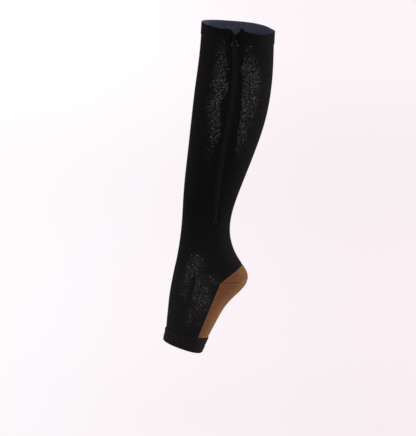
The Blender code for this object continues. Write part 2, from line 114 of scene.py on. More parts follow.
def natural_spline(knots, values):
    """A smooth curve through the values, as a function of an array of places along the knots."""
    knots, values = np.array(knots, float), np.array(values, float)
    steps = np.diff(knots)
    slopes = (np.diff(values, axis=0).T / steps).T
    system, right = np.eye(len(knots)), np.zeros_like(values)
    for i in range(1, len(knots) - 1):
        system[i, i - 1 : i + 2] = steps[i - 1], 2 * (steps[i - 1] + steps[i]), steps[i]
        right[i] = 6 * (slopes[i] - slopes[i - 1])
    bends = np.linalg.solve(system, right)

    def at(place):
        place = np.asarray(place, float)
        i = np.clip(np.searchsorted(knots, place) - 1, 0, len(steps) - 1)
        step, past, left = steps[i], place - knots[i], knots[i + 1] - place
        if values.ndim > 1:
            step, past, left = step[..., None], past[..., None], left[..., None]
        bent = (bends[i] * left**3 + bends[i + 1] * past**3) / (6 * step)
        straight = (values[i] / step - bends[i] * step / 6) * left
        return bent + straight + (values[i + 1] / step - bends[i + 1] * step / 6) * past

    return at


middles = np.array([[(s.front_x + s.back_x) / 2, (s.front_z + s.back_z) / 2] for s in SECTIONS])
DOWNS = np.concatenate([[0], np.cumsum(np.linalg.norm(np.diff(middles, axis=0), axis=1))])
CUFF_DOWN, TOE_DOWN = DOWNS[-2], DOWNS[-1]
section_at = natural_spline(DOWNS, [list(s[1:]) for s in SECTIONS])
print(f"the tube is {TOE_DOWN:.0f} mm long down its middle line, and the cuff starts at {CUFF_DOWN:.0f} mm")


# %% Any spot on the tube
def side_line(down):
    """The middle of each ring and the step from there to its back point, seen from the side as (x, z)."""
    section = section_at(down)
    front, back = section[..., 0:2], section[..., 2:4]
    return (front + back) / 2, (back - front) / 2


def skin(down, turn):
    """Points of the tube's outer face."""
    down, turn = np.broadcast_arrays(down, turn)
    middle, to_back = side_line(down)
    width, egg, full = np.moveaxis(section_at(down)[..., 4:], -1, 0)
    back = -np.cos(turn)
    side = middle + back[..., None] * to_back
    y = -width / 2 * np.sin(turn) * (1 + egg * back + full * back**2)
    return np.stack([side[..., 0], y, side[..., 1]], axis=-1)


def outwards(down, turn):
    """The tube's outward direction at each spot."""
    step = 0.01
    along = skin(down + step, turn) - skin(down - step, turn)
    around = skin(down, turn + step) - skin(down, turn - step)
    normal = np.cross(along, around)
    return normal / np.linalg.norm(normal, axis=-1, keepdims=True)


def lifted(down, turn, lift):
    """Points that far above the tube's outer face."""
    return skin(down, turn) + np.asarray(lift)[..., None] * outwards(down, turn)


def length_of(points):
    return np.linalg.norm(np.diff(points, axis=0), axis=1).sum()


def girth(down):
    return length_of(skin(down, np.linspace(0, FULL_TURN, 181)))


for place in ("upper calf", "ankle"):
    at_place = [s.name for s in SECTIONS].index(place)
    print(f"{place}: {girth(DOWNS[at_place]):.0f} mm round")

# %% [markdown]
# ## Where the zip and the seams run
#
# The zip follows the side of the calf and leans back to the ankle with the leg. Places beside it are measured
# in millimetres across from its middle. The copper heel and sole are knitted in along lines that are straight
# when the stocking is seen from the side, so each seam is a side-view point and an angle.

# %% The lines of the zip and the seams, seen from the side as (x, z)
ZIP_ROUTE = [(-5, 12), (-5, -40), (-5.6, -78), (-13, -130), (-22.6, -187), (-29.8, -240), (-34.6, -300)]
CORNER = (-26.0, -372.5)  # where the heel top, the heel seam and the sole edge meet
HEEL_TIP = (0.3, 0.08)  # the heel top's point lies this far from the corner
HEEL_TOP_BACK = (5.7, -349.0)
HEEL_SEAM_ANGLE = math.radians(-2)
HEEL_END = (-28.7, -379.0)
HEEL_END_ANGLE = math.radians(-39)
SOLE_CORNER = (-58.7, -451.0)
HALF_GAP = 0.04  # pieces that are knitted together all but touch
BEYOND = 10.0  # rings are looked for this far past the tube's two ends
zip_x_at = natural_spline([-z for _, z in ZIP_ROUTE], [x for x, _ in ZIP_ROUTE])


def turn_of(share):
    """The turn on the zip's side, for a share of the way from a ring's middle to its back point."""
    return np.arccos(-np.clip(share, -1, 1))


def zip_turn(down):
    middle, to_back = side_line(down)
    share = np.zeros(np.shape(down))
    for _ in range(20):
        z = middle[..., 1] + share * to_back[..., 1]
        share = (zip_x_at(-z) - middle[..., 0]) / to_back[..., 0]
    return turn_of(share)


def beside_zip(down, across):
    """The turn that lies so many millimetres from the zip's middle, towards the calf if positive."""
    turn, step = zip_turn(down), 0.001
    reach = np.linalg.norm(skin(down, turn + step) - skin(down, turn), axis=-1) / step
    return turn + across / reach


def cross(a, b):
    return a[..., 0] * b[..., 1] - a[..., 1] * b[..., 0]


def ring_through(point):
    """How far down each side-view point's ring lies, and the point's share of the way from middle to back."""
    low, high = np.full(point.shape[:-1], -BEYOND), np.full(point.shape[:-1], TOE_DOWN + BEYOND)
    for _ in range(44):
        half = (low + high) / 2
        middle, to_back = side_line(half)
        past = cross(to_back, point - middle) > 0
        low, high = np.where(past, low, half), np.where(past, half, high)
    down = (low + high) / 2
    middle, to_back = side_line(down)
    return down, ((point - middle) * to_back).sum(-1) / (to_back**2).sum(-1)


def shifted(point, x, z):
    return point[0] + x, point[1] + z


def heading(start, end):
    return math.atan2(end[1] - start[1], end[0] - start[0])


def from_line(x, z, start, angle):
    """How far side-view points lie to the left of a line that starts at a point and runs at an angle."""
    return (z - start[1]) * math.cos(angle) - (x - start[0]) * math.sin(angle)


def turn_on_line(down, start, angle):
    """The turn where each ring crosses a side-view line."""
    middle, to_back = side_line(down)
    line = np.array([math.cos(angle), math.sin(angle)])
    return turn_of(cross(np.array(start) - middle, line) / cross(to_back, line))


print("the zip's turn, in degrees:", np.degrees(zip_turn(np.array([0.0, 100.0, 200.0, 290.0]))).round())

# %% [markdown]
# ## Cloth as a closed wall
#
# Real knit is a sheet about a millimetre thick with soft edges. A bare surface with Solidify on it would have
# sharp square rims, so each piece is built as two grids, the face and the back of the cloth, that come
# together in a round edge. The knit's own grid of stitches becomes the UV map: one unit across is a wale, the
# column that one needle knits, and one unit down is a course, a row of stitches. A tube is knitted with the
# same needles from top to toe, so its wales draw together at the ankle by themselves.

# %% One wall of cloth from a grid of spots
NEEDLES = 380
COURSE = 0.62  # millimetres
EDGE_STEPS = [0.0, 0.04, 0.14, 0.32, 0.6]
EDGE_LEFT = 0.12  # the share of a wall's thickness that is left at its very edge


def roundness(distance, radius):
    """The share of a wall's half thickness that is left at a distance from its edge."""
    near = 1 - np.clip(distance / radius, 0, 1)
    return EDGE_LEFT + (1 - EDGE_LEFT) * np.sqrt(1 - near**2)


def wall(lifts, edge, relief=0.0):
    """The two lifts of a wall of cloth whose edges are thinned and whose face has a relief."""
    middle, half = sum(lifts) / 2, (lifts[0] - lifts[1]) / 2
    return middle + half * edge + relief, middle - half * edge


def stitch_grid(turn, down):
    """The UV map: wales across and courses down."""
    return turn * NEEDLES / FULL_TURN, down / COURSE


def new_object(name, data, materials):
    made = bpy.data.objects.new(name, data)
    for material in materials:
        data.materials.append(material)
    bpy.context.scene.collection.objects.link(made)
    return made


def facing_out(mesh):
    """Merges a mesh's doubles and turns its faces outwards."""
    shape = bmesh.new()
    shape.from_mesh(mesh)
    bmesh.ops.remove_doubles(shape, verts=shape.verts, dist=0.002 * MM)
    bmesh.ops.dissolve_degenerate(shape, edges=shape.edges, dist=0.001 * MM)
    bmesh.ops.recalc_face_normals(shape, faces=shape.faces)
    if shape.calc_volume(signed=True) < 0:
        bmesh.ops.reverse_faces(shape, faces=shape.faces)
    shape.to_mesh(mesh)
    shape.free()
    mesh.shade_smooth()
    return mesh


def wall_faces(rows, columns, skip, closed):
    """The corners of a wall's quads, as points: first the face's, then the back's, then the rim's. With them
    come the grid places that the corners' UVs are read from, and how many quads the face has."""
    place = np.arange(rows * columns).reshape(rows, columns)
    joined = place.copy()
    if closed is not None:
        joined[closed, -1] = joined[closed, 0]
    kept = np.ones((rows - 1, columns - 1), bool) if skip is None else ~skip
    low, high = slice(0, -1), slice(1, None)
    corners = [(low, low), (low, high), (high, high), (high, low)]
    cells, sources = (np.stack([table[c] for c in corners], -1)[kept] for table in (joined, place))
    start, end = cells.ravel(), np.roll(cells, -1, axis=1).ravel()
    border = ~np.isin(start * place.size + end, end * place.size + start)
    a, b = start[border], end[border]
    from_a, from_b = sources.ravel()[border], np.roll(sources, -1, axis=1).ravel()[border]
    rim = np.stack([b, a, a + place.size, b + place.size], 1)
    faces = np.concatenate([cells, cells[:, ::-1] + place.size, rim])
    sources = np.concatenate([sources, sources[:, ::-1], np.stack([from_b, from_a, from_a, from_b], 1)])
    return faces, sources, len(cells)


def shell(name, spots, lifts, materials, skip=None, closed=None, marks=None, uv=None):
    """A wall of cloth over a grid of spots, between two lifts. skip names open cells, closed the rows whose
    ends meet, and marks are named numbers kept at each point. The second material is the cloth's back."""
    down, turn = spots
    faces, sources, on_face = wall_faces(*down.shape, skip, closed)
    used, faces = np.unique(faces, return_inverse=True)
    faces = faces.reshape(-1, 4)
    points = np.concatenate([lifted(down, turn, lift).reshape(-1, 3) for lift in lifts])[used]
    mesh = bpy.data.meshes.new(name)
    mesh.from_pydata(points * MM, [], faces)
    u, v = uv or stitch_grid(turn, down)
    flat = np.stack([u.ravel(), v.ravel()], 1)[sources.ravel()]
    mesh.uv_layers.new(name="stitches").data.foreach_set("uv", flat.ravel())
    sides = np.zeros(len(faces), int)
    sides[on_face : 2 * on_face] = 1
    mesh.polygons.foreach_set("material_index", sides)
    for mark, values in (marks or {}).items():
        both = np.concatenate([values.ravel(), values.ravel()])[used]
        mesh.attributes.new(mark, "FLOAT", "POINT").data.foreach_set("value", both)
    made = new_object(name, facing_out(mesh), materials)
    print(f"{name}: {len(mesh.polygons)} faces")
    return made


def spaced(start, end, step, first=EDGE_STEPS, last=EDGE_STEPS):
    """Places from start to end about a step apart, closer together at a rounded edge."""
    low, high = start + first[-1], end - last[-1]
    middle = np.linspace(low, high, max(2, round((high - low) / step)) + 1)
    return np.concatenate([start + np.array(first[:-1]), middle, end - np.array(last[:-1])[::-1]])


def between(left, right, cells):
    """Even steps from the last column of one grid to the first column of the next, without the two."""
    share = np.linspace(0, 1, cells + 1)[1:-1]
    return left[:, -1:] + share * (right[:, :1] - left[:, -1:])


print("a wale is", round(girth(DOWNS[3]) / NEEDLES, 2), "mm wide at the calf")

# %% [markdown]
# ## Writing finishes as formulas
#
# Every finish here is a procedural material. Shader maths reads best as plain expressions, so a small class
# wraps a node's output and turns Python's operators into Math nodes. All other nodes come from one method.

# %% Numbers and nodes
def maths(operation, reflected=False):
    """A method that adds a Math node. Reflected, the value that it is called on comes last."""

    def method(self, *others):
        values = (*others, self) if reflected else (self, *others)
        return self.tree.value("ShaderNodeMath", {"operation": operation}, enumerate(values))

    return method


class Value:
    """A number that a node tree works out. Arithmetic on it adds Math nodes."""

    def __init__(self, tree, socket):
        self.tree, self.socket = tree, socket

    __add__ = __radd__ = maths("ADD")
    __mul__ = __rmul__ = maths("MULTIPLY")
    __sub__, __rsub__ = maths("SUBTRACT"), maths("SUBTRACT", reflected=True)
    __truediv__, __pow__ = maths("DIVIDE"), maths("POWER")
    fraction, size, sine, most = maths("FRACT"), maths("ABSOLUTE"), maths("SINE"), maths("MAXIMUM")

    def step(self, low, high):
        """0 below low and 1 above high, with a smooth rise between."""
        ends = {"Value": self, "From Min": low, "From Max": high}
        return self.tree.value("ShaderNodeMapRange", {"interpolation_type": "SMOOTHSTEP"}, ends)


class Tree:
    """A node tree under construction."""

    def __init__(self, tree):
        self.tree = tree

    def node(self, kind, settings=(), sockets=()):
        """Adds a node: its settings first, then the values or links of its sockets, by name or number."""
        made = self.tree.nodes.new(kind)
        for key, value in dict(settings).items():
            setattr(made, key, value)
        for key, value in dict(sockets).items():
            value = getattr(value, "socket", value)
            if isinstance(value, bpy.types.NodeSocket):
                self.tree.links.new(value, made.inputs[key])
            else:
                made.inputs[key].default_value = value
        return made

    def out(self, kind, settings=(), sockets=()):
        """A new node's first output."""
        return self.node(kind, settings, sockets).outputs[0]

    def value(self, kind, settings=(), sockets=(), output=0):
        return Value(self, self.node(kind, settings, sockets).outputs[output])


def light(red, green, blue):
    """A colour that is given as a paint chart gives it, from 0 to 255, as the light that it sends back."""
    shares = np.array([red, green, blue]) / 255
    sent = np.where(shares <= 0.04045, shares / 12.92, ((shares + 0.055) / 1.055) ** 2.4)
    return tuple(sent.tolist())


def shade(colour, share):
    """A colour made darker or paler by a share."""
    return tuple(c * share for c in colour)


class Finish(Tree):
    """A material whose Principled shader is fed by formulas."""

    def __init__(self, name, **sockets):
        self.material = bpy.data.materials.new(name)
        self.material.use_nodes = True
        super().__init__(self.material.node_tree)
        self.shader = self.tree.nodes["Principled BSDF"]
        for key, value in sockets.items():
            self.shader.inputs[key.replace("_", " ")].default_value = value

    def feed(self, socket, value):
        self.tree.links.new(getattr(value, "socket", value), self.shader.inputs[socket])

    def blend(self, factor, first, second):
        """One colour that turns into another as the factor rises. Each is a colour or a socket."""
        ends = [(*c, 1) if isinstance(c, tuple) else c for c in (first, second)]
        mix = self.node("ShaderNodeMix", {"data_type": "RGBA"}, {0: factor, 6: ends[0], 7: ends[1]})
        return mix.outputs[2]  # this output and sockets 6 and 7 are the node's colours

    def parts(self, vector):
        """A vector's x, y and z."""
        return [Value(self, part) for part in self.node("ShaderNodeSeparateXYZ", (), {0: vector}).outputs]

    def along(self):
        """The stitch coordinates: wales across and courses down."""
        return self.parts(self.out("ShaderNodeUVMap", {"uv_map": "stitches"}))[:2]

    def at(self, x, y, z=0.0):
        return self.out("ShaderNodeCombineXYZ", (), {0: x, 1: y, 2: z})

    def in_space(self):
        return self.node("ShaderNodeTexCoord").outputs["Object"]

    def noise(self, place, scale, detail=2.0, roughness=0.5):
        sockets = {"Vector": place, "Scale": scale, "Detail": detail, "Roughness": roughness}
        return self.value("ShaderNodeTexNoise", (), sockets)

    def mark(self, name):
        return self.value("ShaderNodeAttribute", {"attribute_name": name}, (), "Fac")

    def raise_by(self, height, relief):
        """Feeds a height to the shader's normal. relief is in millimetres at a height of 1."""
        self.feed("Normal", self.out("ShaderNodeBump", (), {"Height": height, "Distance": relief * MM}))


def stitch_relief(across, down):
    """The height of plain knit: each stitch is a V of two yarn legs, and the next course sits in it."""
    from_middle = (across.fraction() - 0.5).size() * 2
    course = (down + from_middle * 0.5).fraction()
    legs = ((across * 2).fraction() * math.pi).sine()
    return ((course * math.pi).sine() * legs) ** 0.7


def inside_of_knit(name, colour):
    """The back of the cloth: low rounded purl bumps in one mottled colour."""
    made = Finish(name, Roughness=0.9, Specular_IOR_Level=0.15)
    across, down = made.along()
    bumps = ((across * FULL_TURN).sine() * 0.5 + 0.5) * ((down * math.pi).sine().size())
    mottle = made.noise(made.at(across * 0.15, down * 0.1), 1.0, 3.0).step(0.3, 0.7)
    made.feed("Base Color", made.blend(mottle, shade(colour, 0.85), shade(colour, 1.15)))
    made.raise_by(bumps, 0.1)
    return made.material


print("a copper brown sends back", [round(c, 3) for c in light(108, 70, 47)])

# %% [markdown]
# ## The black knit
#
# The leg is a dense nylon knit that hardly shines. Beside the calf and over the instep, small grey curls and
# specks are painted into its colour. They are painted reflections: lamps mirrored in a glossy surface under
# the thin knit, seen between its stitches. The strip beside the zip, where the tape lies behind the knit, is
# left black. The grey patches have to sit in given places, which no texture knows, so the piece carries a
# mark at every point that says how strong the painted reflections are there, and the finish draws the specks
# only there.

# %% Black knit and the back of the cloth
BLACK = light(13, 12, 12)
# painted light: the cuff's black is paler, as light from the floor falls on the lower foot
LIT_CUFF_BLACK = light(24, 22, 24)
LIT_FOOT_BLACK = light(22, 21, 22)  # painted light: the foot's black is paler, as light from the floor falls on it
# the grey of the painted reflections
GLINT_GREY = light(146, 143, 141)
SPECK_GRID = (0.9, 0.68)  # cells of the specks' patterns to a wale and to a course


def dots(made, place, scale, fewer):
    """Round dots of uneven brightness, some of which are left out."""
    cells = made.node("ShaderNodeTexVoronoi", {"feature": "F1"}, {"Vector": place, "Scale": scale})
    lit, strength, _ = made.parts(cells.outputs["Color"])
    round_dot = 1 - Value(made, cells.outputs["Distance"]).step(0.1, 0.38)
    return round_dot * (lit - fewer * 0.55).step(0.42, 0.57) * (strength * strength * 0.8 + 0.2)


def specks(made, across, down, shown, on_foot):
    """Dots and small broken curls of painted reflection between the stitches. The weaker the glint mark, the
    fewer there are, and the foot's are finer."""
    fewer = 1 - shown
    x, y = across * SPECK_GRID[0], down * SPECK_GRID[1]
    place = made.at(x, y)
    curls = 1 - (made.noise(place, 0.5, 1.0) - 0.5).size().step(0.012, 0.05)
    broken = (made.noise(made.at(x, y, 7.0), 0.5, 1.0) - fewer * 0.22).step(0.47, 0.6)
    coarse, fine = dots(made, place, 0.52, fewer), dots(made, place, 0.62, fewer + 0.33) * 1.5
    bright = coarse * (1 - on_foot) + fine * on_foot
    between_stitches = 1 - stitch_relief(across, down).step(0.2, 0.8) * (0.75 - on_foot * 0.45)
    return (curls * broken * (0.35 - on_foot * 0.2)).most(bright) * between_stitches * 1.3


def make_black_knit(name, black):
    made = Finish(name, Roughness=0.9, Specular_IOR_Level=0.02)
    across, down = made.along()
    stretch, foot = made.mark("stretch"), made.mark("foot")
    patchy = made.noise(made.at(across * 0.12, down * 0.07), 1.0, 3.0)
    shown = (stretch + (patchy - 0.5) * 0.45).step(0.1, 0.9) * stretch.step(0.1, 0.2)
    # Painted reflections: grey specks and curls where the glint mark is high.
    grey = specks(made, across, down, shown, foot.step(0.1, 0.5)) * shown.step(-0.2, 0.6) + shown * 0.009
    yarn = made.noise(made.at(across, down * 0.2), 0.35, 3.0).step(0.25, 0.75)
    mottled_black = made.blend(yarn, shade(black, 0.8), shade(black, 1.2))
    # Painted light pales the black over the foot, and painted reflections grey it in patches.
    made.feed("Base Color", made.blend(grey, made.blend(foot, mottled_black, LIT_FOOT_BLACK), GLINT_GREY))
    made.feed("Roughness", 0.9 - grey * 0.25)
    made.raise_by(stitch_relief(across, down), 0.12)
    return made.material


black_knit = make_black_knit("black_knit", BLACK)
inside_knit = inside_of_knit("inside_knit", light(64, 66, 85))
print("black knit sends back", round(BLACK[0], 4))

# %% [markdown]
# ## How the leg sits on its wearer
#
# The knit lies on the leg without a crease. What shape it has comes from the zip: the edge of the slot is
# turned under and stitched down, the tape behind makes a low broad swell, and the stiff tape leaves slight
# waves in the stretchy knit, uneven in length and height. Over the instep there is one long soft trough on
# each side of the foot, where the foot bends away from the leg.

# %% Relief of the black knit
KNIT_WALL = (0.0, -1.2)
WELT_DEPTH = 20.0
SLOT_HALF, SLOT_END = 5.3, 290.7
NOTCH_HALF, NOTCH_DEPTH = 9.6, 8.0  # the slot opens into a V at the rim
STITCH_LINE = 2.2  # the sewing runs this far outside the slot
Bump = namedtuple("Bump", "height out width")
# The turned-under edge, the line of stitches that draws it in, and the swell over the tape
LEG_HEM = [Bump(0.42, 0.9, 1.0), Bump(-0.16, STITCH_LINE, 0.5), Bump(0.2, 4.4, 2.6)]
WELT_HEM = [Bump(0.2, 1.3, 1.0), Bump(-0.14, STITCH_LINE, 0.5), Bump(0.15, 4.4, 2.4)]
Wave = namedtuple("Wave", "length start height")
WAVES = [Wave(31.0, 0.4, 0.16), Wave(19.0, 2.1, 0.12), Wave(11.3, 4.0, 0.07)]
WAVES_OUT, WAVES_WIDTH = 5.0, 4.0  # the waves are highest this far outside the slot
WAVES_END, WAVES_FADE = 300.0, 20.0
CALF_WAVES_LEAD = 1.9  # so that the waves on the slot's two sides differ
Trough = namedtuple("Trough", "side start end depth half_width")
ZIP_TROUGH = Trough(-1, (-62.0, -352.0), (-73.0, -404.0), 0.75, 2.4)
FAR_TROUGH = Trough(1, (-59.0, -346.0), (-74.0, -397.0), 0.6, 3.0)


def bell(distance, width):
    return np.exp(-((distance / width) ** 2))


def rise(value, low, high):
    share = np.clip((value - low) / (high - low), 0, 1)
    return share * share * (3 - 2 * share)


def across_zip(down, turn):
    """How many millimetres spots lie from the zip's middle. It is exact near the zip only."""
    return (turn - zip_turn(down)) / (beside_zip(down, 1.0) - zip_turn(down))


def slot_half(down):
    return SLOT_HALF + (NOTCH_HALF - SLOT_HALF) * np.maximum(0, 1 - down / NOTCH_DEPTH)


def from_slot(down, across):
    """How far spots lie outside the zip's slot, which ends in a half round."""
    return np.hypot(across, np.maximum(down - (SLOT_END - SLOT_HALF), 0)) - slot_half(down)


def hemmed(off, bumps):
    """How high a hem stands at distances outside its edge."""
    return sum(bump.height * bell(off - bump.out, bump.width) for bump in bumps)


def along_segment(x, z, start, end):
    """The distance from side-view points to a segment, and how far along it they lie, from 0 to 1."""
    start, line = np.array(start), np.subtract(end, start)
    away = np.stack([x, z], -1) - start
    share = np.clip((away @ line) / (line @ line), 0, 1)
    return np.linalg.norm(away - share[..., None] * line, axis=-1), share


def knit_relief(down, turn):
    """How far the black knit stands above the tube."""
    across = across_zip(down, turn)
    off = from_slot(down, across)
    relief = hemmed(off, LEG_HEM)
    for wave in WAVES:
        phase = FULL_TURN * down / wave.length + wave.start + np.where(across > 0, CALF_WAVES_LEAD, 0)
        fading = bell(off - WAVES_OUT, WAVES_WIDTH) * np.clip((WAVES_END - down) / WAVES_FADE, 0, 1)
        relief = relief + wave.height * np.sin(phase) * fading
    x, y, z = np.moveaxis(skin(down, turn), -1, 0)
    for trough in (ZIP_TROUGH, FAR_TROUGH):
        distance, share = along_segment(x, z, trough.start, trough.end)
        deep = trough.depth * np.sin(math.pi * np.clip(share * 0.96 + 0.02, 0, 1)) ** 0.8
        relief = relief - deep * bell(distance, trough.half_width) * (y * trough.side > 0)
    return relief


outside_slot = beside_zip(100.0, np.array([5.4, 6.2, 7.5, 9.7]))
print("relief beside the slot:", knit_relief(np.full(4, 100.0), outside_slot).round(2))

# %% Where the painted reflections lie
Reach = namedtuple("Reach", "down inner outer amount")
# The grey patches of painted reflection on the shin's side and the calf's side of the zip, as distances from
# it when seen from the side, and how strong they are there. They are strongest where the calf is widest.
SHIN_SIDE = [
    Reach(9, 12.0, 26.0, 0.4),
    Reach(34, 12.0, 31.0, 0.55),
    Reach(46, 11.0, 33.0, 0.6),
    Reach(59, 8.3, 35.5, 0.8),
    Reach(67, 13.8, 36.0, 0.9),
    Reach(79, 9.0, 36.5, 0.92),
    Reach(91, 7.4, 37.0, 1.0),
    Reach(98, 12.3, 37.5, 0.92),
    Reach(109, 15.6, 38.0, 0.9),
    Reach(124, 14.8, 37.0, 0.85),
    Reach(144, 10.4, 35.0, 0.8),
    Reach(156, 7.5, 33.0, 0.72),
    Reach(175, 13.0, 31.0, 0.5),
    Reach(215, 18.0, 29.0, 0.15),
]
CALF_SIDE = [
    Reach(12, 12.0, 33.0, 0.4),
    Reach(34, 13.0, 37.0, 0.55),
    Reach(46, 11.5, 39.0, 0.7),
    Reach(59, 7.8, 41.0, 1.0),
    Reach(67, 10.6, 41.5, 1.2),
    Reach(79, 12.3, 42.5, 1.25),
    Reach(104, 12.3, 41.0, 1.0),
    Reach(124, 14.8, 39.0, 0.85),
    Reach(144, 14.8, 37.5, 0.78),
    Reach(164, 15.5, 35.0, 0.62),
    Reach(184, 15.0, 31.5, 0.35),
    Reach(208, 14.0, 29.0, 0.0),
]
STRONGEST_GLINTS = 1.25
Faint = namedtuple("Faint", "across down half_across half_down amount")
FAR_SIDE = Faint(-4, 95, 19, 52, 0.45)  # the leg's far side has one faint patch, measured from the zip's line
FAR_INSTEP = 0.6  # the share of the instep's patches on the far side of the foot
Patch = namedtuple("Patch", "x z half_across half_down amount")
INSTEP = [
    Patch(-61, -345, 19, 20, 0.65),  # over the ankle's bend
    Patch(-67, -362, 14, 17, 0.85),  # at the head of the trough
    Patch(-46, -369, 24, 13, 0.65),  # from there to the heel's corner
    Patch(-77, -381, 11, 25, 0.6),  # before the trough
    Patch(-54, -391, 20, 32, 0.7),  # behind the trough
    Patch(-63, -423, 18, 22, 0.5),  # above the cuff
]


def strip_beside(down, away, reaches):
    """How strong the painted reflections are in one strip beside the zip, for distances from it."""
    downs, *columns = zip(*reaches)
    inner, outer, amount = (np.interp(down, downs, column) for column in columns)
    ending = rise(away, 0.7 * inner + 0.3 * outer, outer + 9)
    return rise(away, inner - 1.2, inner + 1.8) * (1 - ending) * amount


def glints(down, turn):
    """How strong the painted reflections are at each spot. They hardly show below 0.1."""
    x, y, z = np.moveaxis(skin(down, turn), -1, 0)
    away = x - zip_x_at(-z)
    zip_side = strip_beside(down, -away, SHIN_SIDE) + strip_beside(down, away, CALF_SIDE)
    far = FAR_SIDE
    far_side = far.amount * bell(away - far.across, far.half_across) * bell(down - far.down, far.half_down)
    instep = np.zeros(x.shape)
    for patch in INSTEP:
        away_from = np.hypot((x - patch.x) / patch.half_across, (z - patch.z) / patch.half_down)
        instep = np.maximum(instep, patch.amount * (1 - rise(away_from, 0.4, 1.4)))
    distance, share = along_segment(x, z, ZIP_TROUGH.start, ZIP_TROUGH.end)
    instep = instep * (1 - 0.95 * bell(distance, 3.0) * rise(share, 0.0, 0.3))
    both = np.where(y < 0, zip_side + instep, far_side + FAR_INSTEP * instep)
    return np.clip(both, 0, STRONGEST_GLINTS)


by_calf = np.array([40.0, 80.0, 120.0, 180.0])
print("stretched beside the calf's edge of the zip:", glints(by_calf, beside_zip(by_calf, 22.0)).round(2))

# %% [markdown]
# ## The leg's grid of spots
#
# The grid needs its lines where the cloth has edges: close together beside the slot, and along the slanting
# edge where the copper heel is let in. Its rows are warped near the end of the slot, so that one of them
# bends round the half-round end. The columns run from the calf past the zip and the shin and round to the
# calf again.

# %% Rows and columns of the leg
def line_by(point, x_side, z_side, angle):
    """A side-view line that starts half a gap away from a point, on the sides that are given as 1 or -1."""
    return shifted(point, x_side * HALF_GAP, z_side * HALF_GAP), angle


HEEL_LINE = line_by(CORNER, -1, 1, heading(CORNER, HEEL_TOP_BACK))
SOLE_LINE = line_by(CORNER, -1, 1, heading(CORNER, SOLE_CORNER))
BESIDE_SLOT = [0.0, 0.05, 0.15, 0.35, 0.65, 1.0, 1.4, 1.8, 2.2, 2.7, 3.4, 4.4, 5.8, 7.6]
BELOW_SLOT = [0.05, 0.15, 0.35, 0.65, 1.0, 1.5, 2.2, 3.2, 4.6, 6.4, 8.6, 11.0, 13.5, 16.0]
ROUND_END = 10  # cells across the slot's end
BACK_COLUMNS, FRONT_COLUMNS = 28, 88
ROW_STEP = 2.3
WARP_REACH = 16.0
EVEN_DOWN = 370.0  # from here down the columns are evenly spaced
NO_ZIP = 99.0  # stands for any column that is far from the zip
JOINED_EDGE = 0.35  # the radius of an edge that is knitted to another


def slot_columns():
    """Distances across the zip, from the calf's side to the shin's side."""
    out = SLOT_HALF + np.array(BESIDE_SLOT)
    inside = SLOT_HALF * np.sin(np.linspace(math.pi / 2, -math.pi / 2, ROUND_END + 1))
    return np.concatenate([out[::-1], inside[1:-1], -out])


def leg_rows():
    """The rows, the two of them where the slot ends and the heel begins, and how far down the corner is."""
    heel_down = float(ring_through(np.array(shifted(HEEL_TOP_BACK, 0, HALF_GAP)))[0])
    corner_down = float(ring_through(np.array(HEEL_LINE[0]))[0])
    above = spaced(WELT_DEPTH + HALF_GAP, SLOT_END - WARP_REACH, ROW_STEP, last=[0.0])
    to_end = SLOT_END - WARP_REACH * np.linspace(1, 0, 9)[1:]
    past_end = SLOT_END + np.array(BELOW_SLOT)
    to_heel = np.linspace(past_end[-1], heel_down, 18)[1:]
    slanting = np.linspace(0, 1, 20)[1:] ** 1.5  # closest together where the copper's edge starts
    to_corner = heel_down + (corner_down - heel_down) * slanting
    to_cuff = spaced(corner_down, CUFF_DOWN - HALF_GAP, ROW_STEP, first=[0.0])[1:]
    rows = np.concatenate([above, to_end, past_end, to_heel, to_corner, to_cuff])
    slot_row, heel_row = len(above) + len(to_end) - 1, len(rows) - len(to_cuff) - len(to_corner) - 1
    return rows, slot_row, heel_row, corner_down


def warped(down, across):
    """Rows near the slot's end bend round it."""
    outside = np.abs(across) - SLOT_HALF
    dip = SLOT_HALF - np.sqrt(np.maximum(SLOT_HALF**2 - across**2, 0))
    dip = np.where(outside > 0, SLOT_HALF * bell(outside, 6.0), dip)
    return down - dip * (1 - rise(np.abs(down - SLOT_END), 0, WARP_REACH))


def leg_spots():
    """The grid, its open cells, and the rows that run all the way round."""
    rows, slot_row, heel_row, corner_down = leg_rows()
    back_turn = np.full(len(rows), math.pi)
    low = rows[heel_row + 1 :]
    edges = turn_on_line(low, *HEEL_LINE), turn_on_line(low, *SOLE_LINE)
    back_turn[heel_row + 1 :] = np.where(low < corner_down, *edges)
    acrosses = slot_columns()
    by_zip = np.stack([beside_zip(np.minimum(rows, SLOT_END), a) for a in acrosses], 1)
    radius = np.array([girth(d) for d in rows]) / FULL_TURN
    hem = np.array(EDGE_STEPS)[None] / radius[:, None]
    start, end = back_turn[:, None] - hem, -back_turn[:, None] + hem[:, ::-1]
    calf, shin = between(start, by_zip, BACK_COLUMNS), between(by_zip, end, FRONT_COLUMNS)
    middle = np.concatenate([calf, by_zip, shin], 1)
    even = between(start, end, middle.shape[1] + 1)
    blend = rise(rows, SLOT_END + 6, EVEN_DOWN)[:, None]
    turn = np.concatenate([start, middle + blend * (even - middle), end], 1)
    across = np.full(turn.shape[1], NO_ZIP)
    zip_column = start.shape[1] + calf.shape[1]
    across[zip_column : zip_column + len(acrosses)] = acrosses
    slot_column = zip_column + len(BESIDE_SLOT) - 1
    skip = np.zeros((len(rows) - 1, turn.shape[1] - 1), bool)
    skip[:slot_row, slot_column : slot_column + ROUND_END] = True
    return (warped(rows[:, None], across[None]), turn), skip, np.arange(len(rows)) <= heel_row


